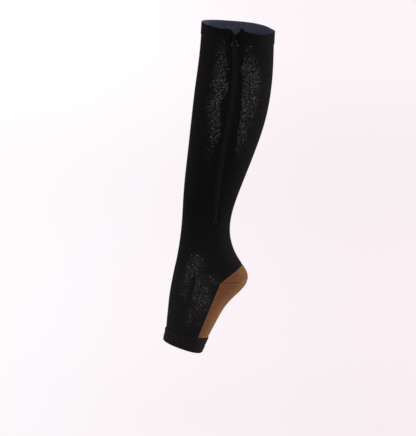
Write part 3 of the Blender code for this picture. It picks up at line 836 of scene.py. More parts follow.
def make_leg():
    spots, skip, closed = leg_spots()
    down, turn = spots
    x, _, z = np.moveaxis(skin(down, turn), -1, 0)
    top, bottom = down - (WELT_DEPTH + HALF_GAP), CUFF_DOWN - HALF_GAP - down
    from_copper = np.maximum(from_line(x, z, *HEEL_LINE), -from_line(x, z, *SOLE_LINE))
    edge = roundness(from_slot(down, across_zip(down, turn)), 0.6)
    for distance in (top, bottom, from_copper):
        edge = edge * roundness(distance, JOINED_EDGE)
    lifts = wall(KNIT_WALL, edge, knit_relief(down, turn) * (1 - bell(top, 2.0)))
    marks = {"stretch": glints(down, turn), "foot": rise(-z, 230, 420)}
    return shell("leg_knit", spots, lifts, (black_knit, inside_knit), skip, closed, marks)


leg = make_leg()

# %% [markdown]
# ## The copper heel and sole
#
# A heel is knitted back and forth on part of the needles, so its rows fan out from the point where it joins
# the ankle, and the two halves of the pocket meet in a seam that runs from that point to the back. Each
# copper piece is a fan of rows between two side-view lines. Its yarn is a copper brown with a second tone
# twisted in, so the finish is heathered. It is almost black in the join to the leg and a little redder just
# beside it. A pale painted highlight lies along the ridge where the seam bunches up at the back, and painted
# shade makes the sole darker towards the toe cuff.

# %% Copper knit
COPPER = light(112, 73, 48)
COPPER_DEEP = light(88, 56, 37)
COPPER_RED = light(118, 75, 50)
COPPER_HIGHLIGHT = light(150, 108, 74)
SHEEN = {"Sheen_Weight": 0.3, "Sheen_Roughness": 0.35, "Sheen_Tint": (1.0, 0.54, 0.23, 1)}
LINE_EVERY = 9  # courses from one faint dark line to the next


def make_copper_knit():
    made = Finish("copper_knit", Roughness=0.85, Specular_IOR_Level=0.04, **SHEEN)
    across, down = made.along()
    heather = made.noise(made.at(across * 0.5, down * 1.4), 0.8, 3.0, 0.65).step(0.3, 0.7)
    cloudy = made.noise(made.at(across * 0.05, down * 0.05), 1.0).step(0.25, 0.75)
    drift = made.noise(made.at(across * 0.03, down * 0.02), 1.0, 1.0) * 0.8
    line = 1 - ((down / LINE_EVERY + drift).fraction() - 0.5).size().step(0.0, 0.09)
    from_join = made.mark("from_join")
    beside_join = from_join.step(0.5, 1.4) * (1 - from_join.step(1.8, 3.6))
    yarn = made.blend(heather * 0.7 + cloudy * 0.3, COPPER, COPPER_DEEP)
    for amount, colour in (
        # painted shade: the sole is darker towards the toe cuff
        (made.mark("by_cuff") * 0.8, COPPER_DEEP),
        (line * 0.45, shade(COPPER_DEEP, 0.8)),
        (beside_join * 0.4, COPPER_RED),
        # painted highlight along the seam's ridge at the back
        (made.mark("bunched") * 0.45, COPPER_HIGHLIGHT),
        (1 - from_join.step(0.2, 0.85), shade(COPPER_DEEP, 0.25)),
    ):
        yarn = made.blend(amount, yarn, colour)
    made.feed("Base Color", yarn)
    made.feed("Roughness", 0.78 + heather * 0.1)
    made.raise_by(stitch_relief(across, down), 0.13)
    return made.material


copper_knit = make_copper_knit()
inside_copper = inside_of_knit("inside_copper", COPPER_DEEP)
print("the copper finish has", len(copper_knit.node_tree.nodes), "nodes")

# %% A fan of rows round the back
FURTHEST_BACK = 150.0  # no row reaches further than this from where it starts
FAN_STEP, FAN_COLUMNS = 1.5, 72
FULLNESS = 0.12  # the copper cloth stands this full between its seams
SEAM_WIDTH = 1.3
BUNCH_HEIGHT = 0.6
BUNCHED_END = ((3.2, -375.6), (11.4, -370.0))  # at the back the seam's edges lie heaped up in a ridge, which carries a painted highlight
FADES = (1.0, 5.0)  # from front to back, where the seam's dark line fades out
NO_JOIN = 20.0  # stands for any distance that is far from a join
# How sharply a join's darkness ends, how much it fades at the back, and how deep it draws the cloth in
Join = namedtuple("Join", "sharpness fade drawn_in")
BLACK_JOIN = Join(1.0, 0.0, 0.34)
CUFF_JOIN = Join(1.0, 0.0, 0.0)
SEAM_JOIN = Join(1.2, 3.0, 0.34)
KNIT_JOIN = Join(2.5, 0.0, 0.0)
Border = namedtuple("Border", "line inside join")  # inside is 1 for a piece on the line's left, or else -1


def round_back(starts, angles, columns):
    """Spots on rows round the back of the tube from the zip's side, each in a side-view line's plane."""
    ways = np.stack([np.cos(angles), np.sin(angles)], -1)
    low, high = np.zeros(len(starts)), np.full(len(starts), FURTHEST_BACK)
    for _ in range(40):
        reach = (low + high) / 2
        inside = ring_through(starts + reach[:, None] * ways)[1] < 1
        low, high = np.where(inside, reach, low), np.where(inside, high, reach)
    hem = np.array(EDGE_STEPS) / np.mean(low)
    sweep = np.linspace(hem[-1], math.pi - hem[-1], columns)
    sweep = np.concatenate([hem[:-1], sweep, math.pi - hem[-2::-1]])
    points = starts[:, None] + (low[:, None] * np.sin(sweep))[..., None] * ways[:, None]
    down, share = ring_through(points)
    turn = turn_of(share)
    return down, np.where(sweep > math.pi / 2, FULL_TURN - turn, turn)


def bunched_seam(x, z):
    distance, share = along_segment(x, z, *BUNCHED_END)
    return bell(distance, SEAM_WIDTH) * np.sin(math.pi * np.clip(share, 0.05, 0.95)) ** 0.7


def fan(name, length, borders):
    """A copper piece whose rows fan out from its first border to its second."""
    first, last = borders[0].line, borders[1].line
    share = spaced(0.0, length, FAN_STEP) / length
    starts = np.array(first[0]) + share[:, None] * np.subtract(last[0], first[0])
    down, turn = round_back(starts, first[1] + share * (last[1] - first[1]), FAN_COLUMNS)
    x, _, z = np.moveaxis(skin(down, turn), -1, 0)
    edge, from_join, relief = np.ones(down.shape), np.full(down.shape, NO_JOIN), FULLNESS
    for line, inside, join in borders:
        left = from_line(x, z, *line)
        distance = np.maximum(inside * left, 0)
        edge = edge * roundness(distance, 0.4 / join.sharpness)
        from_join = np.minimum(from_join, distance * join.sharpness + join.fade * rise(x, *FADES))
        relief = relief - join.drawn_in * bell(left, SEAM_WIDTH)
    bunched = bunched_seam(x, z)
    marks = {"from_join": from_join, "bunched": bunched, "by_cuff": rise(-z, 400, 450)}
    uv = stitch_grid(turn, np.broadcast_to(share[:, None] * length, down.shape))
    lifts = wall(KNIT_WALL, edge, relief + BUNCH_HEIGHT * bunched)
    return shell(name, (down, turn), lifts, (copper_knit, inside_copper), marks=marks, uv=uv)


# %% The heel and the sole
tip = shifted(CORNER, *HEEL_TIP)
heel_top_line = line_by(tip, 1, 1, heading(CORNER, HEEL_TOP_BACK))
above_seam, below_seam = line_by(tip, 1, -1, HEEL_SEAM_ANGLE), line_by(CORNER, 1, -1, HEEL_SEAM_ANGLE)
above_end, below_end = (line_by(HEEL_END, 1, side, HEEL_END_ANGLE) for side in (1, -1))
cuff_middle, cuff_step = side_line(np.array(CUFF_DOWN))
cuff_corner = cuff_middle - np.cos(turn_on_line(CUFF_DOWN, *SOLE_LINE)) * cuff_step
at_cuff = line_by(cuff_corner, 1, 1, math.atan2(cuff_step[1], cuff_step[0]))
sole_front = Border(line_by(CORNER, 1, 1, heading(CORNER, SOLE_CORNER)), 1, BLACK_JOIN)

heel_borders = [Border(heel_top_line, -1, BLACK_JOIN), Border(above_seam, 1, SEAM_JOIN)]
heel_top = fan("heel_top_knit", 25.0, heel_borders)
base_borders = [Border(below_seam, -1, SEAM_JOIN), Border(above_end, 1, KNIT_JOIN), sole_front]
heel_base = fan("heel_base_knit", 30.0, base_borders)
sole_borders = [Border(below_end, -1, KNIT_JOIN), Border(at_cuff, 1, CUFF_JOIN), sole_front]
sole = fan("sole_knit", 74.0, sole_borders)

# %% [markdown]
# ## The toe cuff
#
# The open toe ends in a band of the same black knit, folded over soft elastic and stitched through, so it is
# thicker than the leg, its edges are full and round, and the line of stitching makes a shallow groove. The
# elastic pulls hardest at the shin and under the foot, so the groove is deepest there. It is a ring, so its
# grid is closed in every row.

# %% Cuff
WELT_WALL = (0.8, -1.2)
CUFF_WALL = (1.5, -1.2)
ROUND_STEPS = [0.0, 0.05, 0.18, 0.4, 0.75, 1.3]  # for a thick edge
BAND_STEP = 1.1
GROOVE_DOWN = (8.0, 11.6)  # below the cuff's top edge, at the shin's side and under the foot
GROOVE_DEPTH = 0.7
CUFF_OVERHANG = 1.2  # the cuff's round edge stands out past the last ring
ROLLS = 17  # round the cuff, where the stitching gathers it


def cuff_relief(below_top, turn):
    under = (1 - np.cos(turn)) / 2
    groove = GROOVE_DOWN[0] + under * (GROOVE_DOWN[1] - GROOVE_DOWN[0])
    depth = GROOVE_DEPTH * (0.35 + 0.65 * np.abs(np.cos(turn)))
    rolls = 0.12 * np.sin(turn * ROLLS + 1.3 * np.sin(turn * 5)) * bell(below_top - groove, 4.0)
    start = (CUFF_WALL[0] - 0.1) * (1 - rise(below_top, -0.6, 2.2))  # the band swells out of the leg
    return -depth * bell(below_top - groove, 1.4) + rolls - start + 0.7 * rise(below_top, 4, 16)


def make_cuff():
    rows = spaced(CUFF_DOWN + HALF_GAP, TOE_DOWN + CUFF_OVERHANG, BAND_STEP, ROUND_STEPS, ROUND_STEPS)
    down, turn = np.meshgrid(rows, np.linspace(0, FULL_TURN, 181), indexing="ij")
    below_top, above_end = down - rows[0], rows[-1] - down
    edge = roundness(below_top, 0.3) * roundness(above_end, 0.7)
    lifts = wall(CUFF_WALL, edge, cuff_relief(below_top, turn))
    closed = np.ones(len(rows), bool)
    return shell("toe_cuff_knit", (down, turn), lifts, (cuff_knit, inside_knit), closed=closed)


# The cuff's paler black is painted light.
cuff_knit = make_black_knit("cuff_knit", LIT_CUFF_BLACK)
cuff = make_cuff()

# %% [markdown]
# ## The top band
#
# The stocking starts with a band of double knit, 20 mm deep. Its upper edge isn't level: it is highest on the
# far side, dips on both sides of the V above the zip, and stands up in a small point where it turns down into
# the V. The edge is a smooth curve through a few lifts round the rim, and the point is added to it.

# %% Welt
# The turn round the tube in degrees, and how far the edge is lifted above the first ring there
RIM_LIFTS = [
    (-115, 3.0), (-96, 2.6), (-77, 1.8), (-51, 1.1), (-25, 0.4), (0, -0.3), (28, -2.0), (45, -2.5),
    (62, -3.3), (72, -2.1), (79, -0.6), (96, 0.4), (101, -2.2), (108, -3.8), (120, -4.6), (133, -4.8),
    (147, -3.8), (160, -2.4), (180, -0.4), (205, 0.4), (214, 1.4), (226, 2.4), (245, 3.0),
]
FIRST_TURN, LAST_TURN = RIM_LIFTS[0][0], RIM_LIFTS[-1][0]
POINT_HEIGHT, POINT_REACH = 2.2, 1.1  # of the small point at the V's calf side
rim_lift_at = natural_spline(*zip(*RIM_LIFTS))


def rim_lift(turn):
    degrees = np.degrees(turn)
    wrapped = np.where(degrees > LAST_TURN, degrees - 360, degrees)
    return rim_lift_at(np.maximum(FIRST_TURN, wrapped))


def make_welt():
    deep = WELT_DEPTH - HALF_GAP
    share = spaced(0.0, deep, BAND_STEP, ROUND_STEPS, EDGE_STEPS)[:, None] / deep
    level = share * deep
    away = np.array([*ROUND_STEPS, 1.8, 2.2, 2.7, 3.4, 4.6, 6.0])
    behind = beside_zip(level, slot_half(level) + away)
    before = beside_zip(level, -slot_half(level) - away[::-1]) + FULL_TURN
    turn = np.concatenate([behind, between(behind, before, 170), before], 1)
    radius = girth(0.0) / FULL_TURN
    from_back, from_front = (turn - turn[:, :1]) * radius, (turn[:, -1:] - turn) * radius
    from_v, above_joint = np.minimum(from_back, from_front), level[-1] - level
    down = level - (1 - share) * (rim_lift(turn) + POINT_HEIGHT * np.exp(-from_back / POINT_REACH))
    edge = roundness(level, 1.0) * roundness(from_v, 1.0) * roundness(above_joint, 0.3)
    thinning = (WELT_WALL[0] - 0.1) * (1 - rise(above_joint, -0.6, 2.4))
    lifts = wall(WELT_WALL, edge, hemmed(from_v, WELT_HEM) * rise(level, 0.5, 4) - thinning)
    marks = {"stretch": glints(down, turn) * rise(level, 8, 20)}
    return shell("welt_knit", (down, turn), lifts, (black_knit, inside_knit), marks=marks)


welt = make_welt()

# %% [markdown]
# ## The zip tapes
#
# Each half of the zip is sewn on a narrow woven tape that lies behind the knit. Above the slider the tapes
# fold out of the way into the V. The weave is a fine herringbone, drawn with waves along and across the tape.

# %% Tapes
TAPE_WALL = (-1.8, -2.7)
TAPE_HALF, TAPE_EDGE = 12.5, 0.3  # the tape's two edges, from the zip's middle
TAPE_TOP, TAPE_END = 1.0, 297.5
TAPE_HEM = np.array([0.0, 0.04, 0.14, 0.32])
TAPE_ENDS = [0.0, 0.04, 0.14, 0.3]
TUCKED, TUCK_DOWN = 2.0, 12.0  # behind the band the tape's top lies lower, out of sight below the rim
TUCKED_ACROSS = (7.2, 9.6)  # where the tape passes behind the band
SLOT_PAINTED_LIGHT = (11.5, 16.5)  # the tape is painted darker in the lit V and paler in the slot's shade; this is how far down it changes
HINGE_DOWN = 12.8  # the pull's hinge, as far down the middle line
PARTING = 1.5  # the chain starts to part this far below the hinge
SPREAD = 0.12  # how far each half moves out for each millimetre above that
# Above the slider the tapes fold out: how far down, and the tape's edge there
FOLDED_FRONT = [(1.0, 8.4), (2.8, 6.4), (4.2, 4.9), (5.7, 3.7), (7.2, 2.3), (8.6, 0.85)]
FOLDED_BACK = [(1.0, 8.6), (2.8, 7.2), (4.2, 5.9), (5.7, 4.4), (7.2, 2.6), (8.6, 0.85)]
CHEVRON, TWILL, WARP = 2.4, 0.75, 0.4  # the weave's repeats


def parted(down):
    """How far each half of the chain has moved out from the middle, inside the slider and above it."""
    return SPREAD * np.maximum(0.0, HINGE_DOWN + PARTING - down)


def tape_edge(down, fold):
    folded = np.interp(down, *zip(*fold))
    return np.where(down < fold[-1][0], folded, TAPE_EDGE + parted(down))


def make_weave():
    made = Finish("zip_tape", Roughness=0.8, Specular_IOR_Level=0.05)
    across, down = made.along()
    chevron = ((across / CHEVRON).fraction() - 0.5).size() * CHEVRON
    twill = ((down + chevron) * (FULL_TURN / TWILL)).sine()
    warp = (across * (FULL_TURN / WARP)).sine()
    uneven = made.noise(made.at(across, down), 0.6, 3.0).step(0.3, 0.7)
    # Painted light and shade: the tape is paler below the V, standing in for light in the recessed slot, and
    # darker in the V, where its folded ends catch the light.
    flat = made.blend(uneven, light(19, 18, 18), light(27, 25, 25))
    folded = made.blend(uneven, light(10, 10, 10), light(17, 16, 16))
    made.feed("Base Color", made.blend(down.step(*SLOT_PAINTED_LIGHT), folded, flat))
    made.raise_by(twill * 0.7 + warp * 0.3, 0.06)
    return made.material


def make_tape(name, side, fold):
    rows = spaced(TAPE_TOP, TAPE_END, 1.2, TAPE_ENDS, TAPE_ENDS)[:, None]
    edge = tape_edge(rows, fold)
    low, high = edge + TAPE_HEM[-1], TAPE_HALF - TAPE_HEM[-1]
    middle = low + np.linspace(0, 1, 9) * (high - low)
    across = np.concatenate([edge + TAPE_HEM[:-1], middle, 0 * edge + TAPE_HALF - TAPE_HEM[-2::-1]], 1)
    tucked = TUCKED * rise(across, *TUCKED_ACROSS) * np.maximum(0, 1 - (rows - TAPE_TOP) / TUCK_DOWN)
    down = rows + tucked
    turn = beside_zip(down, side * across)
    thin = roundness(np.minimum(across - edge, TAPE_HALF - across), TAPE_HEM[-1])
    thin = thin * roundness(np.minimum(rows - TAPE_TOP, TAPE_END - rows), TAPE_ENDS[-1])
    return shell(name, (down, turn), wall(TAPE_WALL, thin), (weave,), uv=(across, down))


weave = make_weave()
tape_front = make_tape("tape_front", -1, FOLDED_FRONT)
tape_back = make_tape("tape_back", 1, FOLDED_BACK)

# %% [markdown]
# ## The zip chain
#
# The teeth of a fine zip are a continuous coil of stiff nylon thread, one on each tape, and each turn hooks
# between two turns of the other coil. A helix could be worked out point by point, but one turn is enough: a
# node tree sweeps it into a thread and repeats it along the tape, each copy turned to follow the cloth, and
# the end of one turn meets the start of the next. The same tree makes every row of stitches, from other
# small threads.

# %% Repeat a piece of thread along a path
Row = namedtuple("Row", "points outs")
ALIGN = "FunctionNodeAlignRotationToVector"


def thread_shape(name, points, groups=()):
    """A mesh of points joined by edges, in millimetres. groups are the lengths of its separate lines."""
    ends = np.cumsum(groups or [len(points)])
    edges = [(i, i + 1) for i in range(len(points) - 1) if i + 1 not in ends]
    mesh = bpy.data.meshes.new(name)
    mesh.from_pydata([Vector(p) * MM for p in points], edges, [])
    return new_object(name, mesh, ())


def repeat_tree():
    """The nodes: sweep a thread, and put a copy at even steps along each line of the path."""
    group = bpy.data.node_groups.new("repeat_thread", "GeometryNodeTree")
    inputs = [("Path", "Geometry"), ("Thread", "Object"), ("Radius", "Float"), ("Sides", "Int")]
    for name, kind in [*inputs, ("Copies", "Int"), ("Material", "Material")]:
        group.interface.new_socket(name, in_out="INPUT", socket_type="NodeSocket" + kind)
    group.interface.new_socket("Repeats", in_out="OUTPUT", socket_type="NodeSocketGeometry")
    made = Tree(group)
    given = made.node("NodeGroupInput").outputs
    thread = made.node("GeometryNodeObjectInfo", (), {"Object": given["Thread"]}).outputs["Geometry"]
    line = made.out("GeometryNodeMeshToCurve", (), {"Mesh": thread})
    round_wire = {"Resolution": given["Sides"], "Radius": given["Radius"]}
    ring = made.out("GeometryNodeCurvePrimitiveCircle", (), round_wire)
    sweep = {"Curve": line, "Profile Curve": ring, "Fill Caps": True}
    swept = made.out("GeometryNodeCurveToMesh", (), sweep)
    path = made.out("GeometryNodeMeshToCurve", (), {"Mesh": given["Path"]})
    even = {"Curve": path, "Count": given["Copies"]}
    places = made.out("GeometryNodeResampleCurve", {"mode": "COUNT"}, even)
    tangent = made.out("GeometryNodeInputTangent")
    out = made.out("GeometryNodeInputNamedAttribute", {"data_type": "FLOAT_VECTOR"}, {"Name": "out"})
    along = made.out(ALIGN, {"axis": "Y"}, {"Vector": tangent})
    upright = made.out(ALIGN, {"axis": "Z", "pivot_axis": "Y"}, {"Rotation": along, "Vector": out})
    placing = {"Points": places, "Instance": swept, "Rotation": upright}
    copies = made.out("GeometryNodeInstanceOnPoints", (), placing)
    real = made.out("GeometryNodeRealizeInstances", (), {"Geometry": copies})
    finished = {"Geometry": real, "Material": given["Material"]}
    made.node("NodeGroupOutput", (), {0: made.out("GeometryNodeSetMaterial", (), finished)})
    return group


def repeat(name, rows, thread, radius, copies, material, sides=5):
    """Bakes copies of a thread along rows into one plain mesh."""
    points = np.concatenate([row.points for row in rows])
    path = thread_shape(name + "_path", points, [len(row.points) for row in rows])
    outs = np.concatenate([row.outs for row in rows]).ravel()
    path.data.attributes.new("out", "FLOAT_VECTOR", "POINT").data.foreach_set("vector", outs)
    modifier = path.modifiers.new("repeat", "NODES")
    given = {"Thread": thread, "Radius": radius * MM, "Sides": sides, "Copies": copies, "Material": material}
    modifier.node_group = repeating
    sockets = {s.name: s.identifier for s in repeating.interface.items_tree if s.in_out == "INPUT"}
    for key, value in given.items():
        modifier[sockets[key]] = value
    bpy.context.view_layer.update()
    evaluated = path.evaluated_get(bpy.context.evaluated_depsgraph_get())
    mesh = bpy.data.meshes.new_from_object(evaluated)
    mesh.name = name
    for helper in (path, thread):
        bpy.data.objects.remove(helper)
    made = new_object(name, facing_out(mesh), ())
    print(f"{name}: {copies} copies in each of {len(rows)} rows, {len(mesh.polygons)} faces")
    return made


def row_on(down, turn, lift):
    """A row over spots that keeps the cloth's outward direction at each."""
    return Row(lifted(down, turn, np.full(len(down), lift)), outwards(down, turn))


repeating = repeat_tree()

# %% Nylon and thread
def make_nylon():
    made = Finish("zip_chain", Roughness=0.4, Specular_IOR_Level=0.1)
    worn = made.noise(made.in_space(), 900.0, 3.0).step(0.3, 0.75)
    made.feed("Base Color", made.blend(worn, light(17, 17, 17), light(27, 26, 26)))
    made.feed("Roughness", 0.34 + worn * 0.12)
    made.raise_by(worn, 0.01)
    return made.material


def make_sewing_thread():
    made = Finish("sewing_thread", Roughness=0.6, Specular_IOR_Level=0.08)
    fibres = made.noise(made.in_space(), 2500.0).step(0.3, 0.7)
    made.feed("Base Color", made.blend(fibres, light(12, 12, 13), light(22, 22, 23)))
    made.raise_by(fibres, 0.03)
    return made.material


nylon, sewing_thread = make_nylon(), make_sewing_thread()
print("finishes:", nylon.name, "and", sewing_thread.name)

# %% The two coils
CHAIN_TOP, CHAIN_END = 9.4, 283.6
PITCH = 1.27
NYLON_RADIUS = 0.29
COIL_HALF, COIL_HOOK = 2.4, 0.3  # the coil reaches this far out from the middle, and this far past it
COIL_LIFT = (0.3, -1.38)
chain_downs = np.linspace(CHAIN_END, CHAIN_TOP, 140)
turns_of_coil = round((CHAIN_END - CHAIN_TOP) / PITCH)
pitch = length_of(skin(chain_downs, zip_turn(chain_downs))) / (turns_of_coil - 1)


def chain_row(side, across=0.0, start=0.0):
    downs = chain_downs - start
    return row_on(downs, beside_zip(downs, side * (parted(downs) + across)), 0.0)


def make_coil(name, side, start):
    high, low = COIL_LIFT
    outline = [
        (COIL_HALF - 0.3, 0, low),
        (COIL_HALF, 0, low + 0.35),
        (COIL_HALF, 0, high - 0.35),
        (COIL_HALF - 0.4, 0, high),
        (0.15, 0, high),
        (-COIL_HOOK, 0, high - 0.45),
        (-COIL_HOOK, 0, low + 0.45),
        (0.1, 0.1 * pitch, low),
        (COIL_HALF - 0.3, pitch, low),
    ]
    turn = thread_shape("coil_turn", [(side * x, y, z) for x, y, z in outline])
    return repeat(name, [chain_row(side, start=start)], turn, NYLON_RADIUS, turns_of_coil, nylon, sides=6)


coil_front = make_coil("coil_front", -1, 0.0)
coil_back = make_coil("coil_back", 1, pitch / 2)

# %% [markdown]
# ## Sewing
#
# Thread holds each coil to its tape: a stitch goes over every turn. The tape in turn is sewn to the knit by a
# lockstitch, which runs down one side of the slot, round its end and up the other, and to the band beside the
# V. In a lockstitch each stitch is a short bow of thread that comes out of the cloth and goes back in. The
# heel's seam is linked with slanting stitches, and a stouter thread links the band to the leg in their joint.

# %% Stitches
SEWN_OUT = SLOT_HALF + STITCH_LINE
SUNK = 0.05  # a row of stitches lies this deep in its cloth
STITCH = 2.5
STITCH_HEIGHT = 0.1
COIL_SEWN = 1.65  # the stitches cross the coil's turns this far from the chain's middle
LINK_REACH = 2.1  # half of one length of the linking thread, which overlaps the next
JOINT_LIFT, SEAM_LIFT = -0.55, -0.32  # the linking threads lie in the joint's and the heel seam's grooves


def bow(name, length, height, across=0.0, sunk=0.25):
    """A stitch that starts and ends inside the cloth."""
    share = np.linspace(-1, 1, 7)
    rise_of_bow = height * (1 - np.abs(share) ** 3) - sunk * np.abs(share) ** 3
    return thread_shape(name, list(zip(across * share, share * length / 2, rise_of_bow)))


def slot_sewing_row():
    """Down the calf's side, round the slot's end and up the shin's side."""
    centre = SLOT_END - SLOT_HALF
    straight = np.linspace(WELT_DEPTH + 1.2, centre, 150)
    round_end = np.linspace(0, math.pi, 25)[1:-1]
    down = np.concatenate([straight, centre + SEWN_OUT * np.sin(round_end), straight[::-1]])
    across = np.concatenate([0 * straight + SEWN_OUT, SEWN_OUT * np.cos(round_end), 0 * straight - SEWN_OUT])
    turn = beside_zip(down, across)
    return row_on(down, turn, knit_relief(down, turn) - SUNK)


def welt_sewing_row(side):
    down = np.linspace(NOTCH_DEPTH + 1.0, WELT_DEPTH - 1.8, 12)
    return row_on(down, beside_zip(down, side * SEWN_OUT), WELT_WALL[0] + WELT_HEM[1].height - SUNK)


def heel_seam_row():
    start, angle = below_seam
    down, turn = round_back(np.array([start]), np.array([angle]), 60)
    return row_on(down[0, 1:-1], turn[0, 1:-1], SEAM_LIFT)


def welt_joint_row():
    """Round the leg in the joint below the top band, from one side of the slot to the other."""
    middle = WELT_DEPTH + HALF_GAP / 2
    start, end = (float(beside_zip(middle, side * (SLOT_HALF + 0.8))) for side in (1, -1))
    return row_on(np.full(200, middle), np.linspace(start, end + FULL_TURN, 200), JOINT_LIFT)


coil_rows = [chain_row(-1, COIL_SEWN), chain_row(1, COIL_SEWN, pitch / 2)]
coil_stitch = bow("coil_stitch", pitch * 1.02, COIL_LIFT[0] + NYLON_RADIUS + 0.1, sunk=0.3)
slot_stitch, welt_stitch = (bow(name, STITCH * 0.9, STITCH_HEIGHT) for name in ("slot_stitch", "welt_stitch"))
seam_stitch = bow("seam_stitch", 0.5, 0.08, across=0.75)
link = thread_shape("link", [(0, y, 0) for y in (-LINK_REACH, 0, LINK_REACH)])
slot_copies = round(2 * (SLOT_END - WELT_DEPTH) / STITCH)
welt_rows = [welt_sewing_row(side) for side in (-1, 1)]
Sewing = namedtuple("Sewing", "name slot rows thread radius copies")
SEWING = [
    Sewing("coil_stitching", "zip_chain", coil_rows, coil_stitch, 0.13, turns_of_coil),
    Sewing("slot_stitching", "black_knit", [slot_sewing_row()], slot_stitch, 0.14, slot_copies),
    Sewing("welt_stitching", "black_knit", welt_rows, welt_stitch, 0.14, 4),
    Sewing("welt_linking", "black_knit", [welt_joint_row()], link, 0.24, 84),
    Sewing("heel_seam_stitching", "black_knit", [heel_seam_row()], seam_stitch, 0.12, 86),
]
sewn = [(repeat(s.name, s.rows, s.thread, s.radius, s.copies, sewing_thread), s.slot) for s in SEWING]

# %% [markdown]
# ## Slider, pull and bottom stop
#
# These are die-cast zinc, painted satin black. The imported shapes are right but their edges are sharp, and a
# cast and painted edge is always rounded and catches the light. So each shape is copied, its flat faces are
# joined up again, and a small Bevel rounds every edge. The Bevel's faces get a paler metallic finish, partly
# bare zinc where the paint is worn and partly a painted highlight, and the pull's lower corners get a bright
# painted glint.

# %% Painted metal
def make_black_metal():
    made = Finish("black_metal", Roughness=0.3, Specular_IOR_Level=0.02)
    place = made.in_space()
    paler_patch = made.noise(place, 260.0, 3.0).step(0.35, 0.7)
    made.feed("Base Color", made.blend(paler_patch, light(4, 4, 5), light(8, 8, 9)))
    made.feed("Roughness", 0.28 + paler_patch * 0.14)
    made.raise_by(made.noise(place, 1400.0), 0.012)  # the paint's orange peel
    return made.material


def make_wear_and_glint_edge():
    """Paint draws back from an edge and wears off it, so the zinc shows through; the paler edge is also a
    painted highlight. The pull's two lower corners carry a bright painted glint."""
    made = Finish("worn_edge", Metallic=1.0, Roughness=0.32)
    worn = made.noise(made.in_space(), 700.0, 3.0).step(0.3, 0.7)
    corners = np.array(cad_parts["zip_pull"].bound_box)
    low, middle = corners[:, 2].min(), (corners[:, 0].min() + corners[:, 0].max()) / 2
    x, _, z = made.parts(made.in_space())
    # painted glint: the pull's two lower corners turn bright
    paler_patch = 1 - (z - low).size().step(1.0 * MM, 3.0 * MM)
    paler_patch = paler_patch * (x - middle).size().step(2.8 * MM, 4.2 * MM)
    plain = made.blend(worn, light(30, 30, 31), light(74, 73, 73))
    made.feed("Base Color", made.blend(paler_patch, plain, light(170, 167, 165)))
    made.feed("Roughness", 0.4 - worn * 0.12)
    return made.material


def softened(node, name, edge):
    """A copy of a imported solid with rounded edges."""
    shape = bmesh.new()
    shape.from_mesh(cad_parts[node].data)
    bmesh.ops.remove_doubles(shape, verts=shape.verts, dist=0.01 * MM)
    bmesh.ops.dissolve_limit(shape, angle_limit=math.radians(3), verts=shape.verts, edges=shape.edges)
    mesh = bpy.data.meshes.new(name)
    shape.to_mesh(mesh)
    shape.free()
    mesh.shade_smooth()
    made = new_object(name, mesh, (black_metal, worn_edge))
    bevel = made.modifiers.new("rounding", "BEVEL")
    bevel.width, bevel.segments, bevel.limit_method = edge * MM, 3, "ANGLE"
    bevel.angle_limit = math.radians(35)
    bevel.harden_normals = True
    bevel.material = 1  # the edge faces: worn paint and a painted highlight
    print(name, "from", node, "with", len(mesh.polygons), "flat faces")
    return made


black_metal, worn_edge = make_black_metal(), make_wear_and_glint_edge()
slider = softened("zip_slider", "slider_body", 0.22)
pull = softened("zip_pull", "pull_tab", 0.26)
staple = softened("zip_bottom_stop", "bottom_staple", 0.3)

# %% [markdown]
# ## Whose is what
#
# Every piece moves with one body of the imported model: the pull with its hinge, and all else with the
# stocking. A table pairs each piece with the imported part that it stands for, which is hidden, and with the
# name of its finish. The knit is made smaller than the leg it goes on, so its relaxed cut is narrower
# than its worn size by the share that it stretches.

# %% Pieces and their bodies
Piece = namedtuple("Piece", "made node slot")
PIECES = [
    Piece(leg, "leg", "black_knit"),
    Piece(welt, "welt", "black_knit"),
    Piece(cuff, "toe_cuff", "black_knit"),
    Piece(heel_top, "heel_top", "copper_knit"),
    Piece(heel_base, "heel_base", "copper_knit"),
    Piece(sole, "sole", "copper_knit"),
    Piece(tape_front, "zip_tape_front", "zip_tape"),
    Piece(tape_back, "zip_tape_back", "zip_tape"),
    Piece(coil_front, "zip_chain_front", "zip_chain"),
    Piece(coil_back, "zip_chain_back", "zip_chain"),
    Piece(slider, "zip_slider", "black_metal"),
    Piece(pull, "zip_pull", "black_metal"),
    Piece(staple, "zip_bottom_stop", "black_metal"),
]
for piece in PIECES:
    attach(piece.made, "pull" if piece.made == pull else "stocking")
    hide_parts(piece.node)
for made, slot in sewn:
    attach(made, "stocking")
print(len(PIECES) + len(sewn), "pieces, of which", pull.name, "rides on the pull's hinge")


widest = max(girth(down) for down in DOWNS[:6])
girth(DOWNS[0])  # the rim isn't level
girth(CUFF_DOWN) + 14  # it widens towards the toes

# %% [markdown]
# ## The studio
#
# The stocking stands above nothing but a pale floor that runs far back, so the floor fills the view up to its
# edge and no line shows behind the object. Four large soft lamps and a white world light it. The strongest
# lamp stands at the calf's side and a little behind, so that the stocking's back edge catches the light.

# %% Floor, lights and camera
FLOOR_BELOW = 0.09  # metres, like all sizes in this cell but the sensor's
FLOOR_RADIUS = 14.0
Lamp = namedtuple("Lamp", "name place size watts")
LAMPS = [
    Lamp("key", (-1.2, -1.9, 0.6), 1.0, 6),
    Lamp("fill", (1.6, -1.6, 0.4), 1.0, 7),
    Lamp("left", (-2.3, 1.2, 0.1), 1.2, 26),
    Lamp("right", (2.5, 1.0, -0.22), 1.2, 108),
]
LIT_PLACE = (0, 0, -0.22)
WORLD_STRENGTH = 0.8
ELEVATION = math.radians(7.7)
DISTANCE = 6.0
VIEW_ACROSS = 0.6322  # across the longer side of the picture
VIEW_X, VIEW_BELOW = -0.0439, 0.2787  # the middle of the view, measured along the picture from the origin
SENSOR = 36  # millimetres


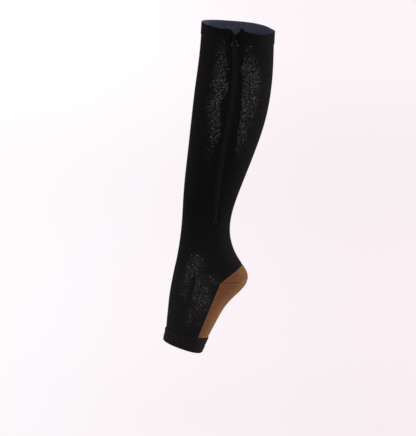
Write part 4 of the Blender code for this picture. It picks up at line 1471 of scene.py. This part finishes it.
def make_floor():
    made = Finish("studio_floor", Roughness=0.9, Specular_IOR_Level=0.0, Emission_Strength=1.0)
    # Painted light: the floor glows by itself, paler further back and warmer towards the right, so that it
    # looks near white whatever the lamps do.
    x, y, _ = made.parts(made.in_space())
    warmer, further = x.step(-0.5, 0.3), y.step(0.5, 6.0)
    near = made.blend(warmer, (0.71, 0.685, 0.705), (0.665, 0.605, 0.635))
    far = made.blend(warmer, (0.84, 0.83, 0.84), (0.79, 0.73, 0.76))
    made.feed("Emission Color", made.blend(further, near, far))
    made.feed("Base Color", made.blend(warmer, (0.25, 0.24, 0.245), (0.24, 0.22, 0.225)))
    shape = bmesh.new()
    bmesh.ops.create_circle(shape, cap_ends=True, segments=96, radius=FLOOR_RADIUS)
    bmesh.ops.translate(shape, vec=(0, 0, cad_box[0][2] - FLOOR_BELOW), verts=shape.verts)
    mesh = bpy.data.meshes.new("floor")
    shape.to_mesh(mesh)
    shape.free()
    return new_object("floor", mesh, (made.material,))


def placed(name, data, place, target):
    """A lamp or a camera that looks from a place at a target."""
    made = new_object(name, data, ())
    made.location = place
    made.rotation_euler = (Vector(target) - Vector(place)).to_track_quat("-Z", "Y").to_euler()
    return made


make_floor()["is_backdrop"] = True
for lamp in LAMPS:
    data = bpy.data.lights.new(lamp.name, "AREA")
    data.shape, data.size, data.energy = "SQUARE", lamp.size, lamp.watts
    placed(lamp.name, data, lamp.place, LIT_PLACE)

world = bpy.data.worlds.new("studio")
world.use_nodes = True
background = world.node_tree.nodes["Background"].inputs
background["Color"].default_value = (1, 1, 1, 1)
background["Strength"].default_value = WORLD_STRENGTH

seen = Vector((VIEW_X, -VIEW_BELOW * math.sin(ELEVATION), -VIEW_BELOW * math.cos(ELEVATION)))
towards = Vector((0, -math.cos(ELEVATION), math.sin(ELEVATION)))
data = bpy.data.cameras.new("camera")
data.sensor_width, data.lens, data.clip_end = SENSOR, SENSOR * DISTANCE / VIEW_ACROSS, 60
scene = bpy.context.scene
scene.camera = placed("camera", data, seen + DISTANCE * towards, seen)
scene.world = world
scene.view_settings.view_transform = "Standard"
print(f"the camera has a {data.lens:.0f} mm lens and stands {DISTANCE} m away")

# %% The sizes, and the end
visual_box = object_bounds()
for axis, low, high in zip("xyz", *visual_box):
    print(f"{axis}: {low * 1000:.1f} to {high * 1000:.1f} mm")
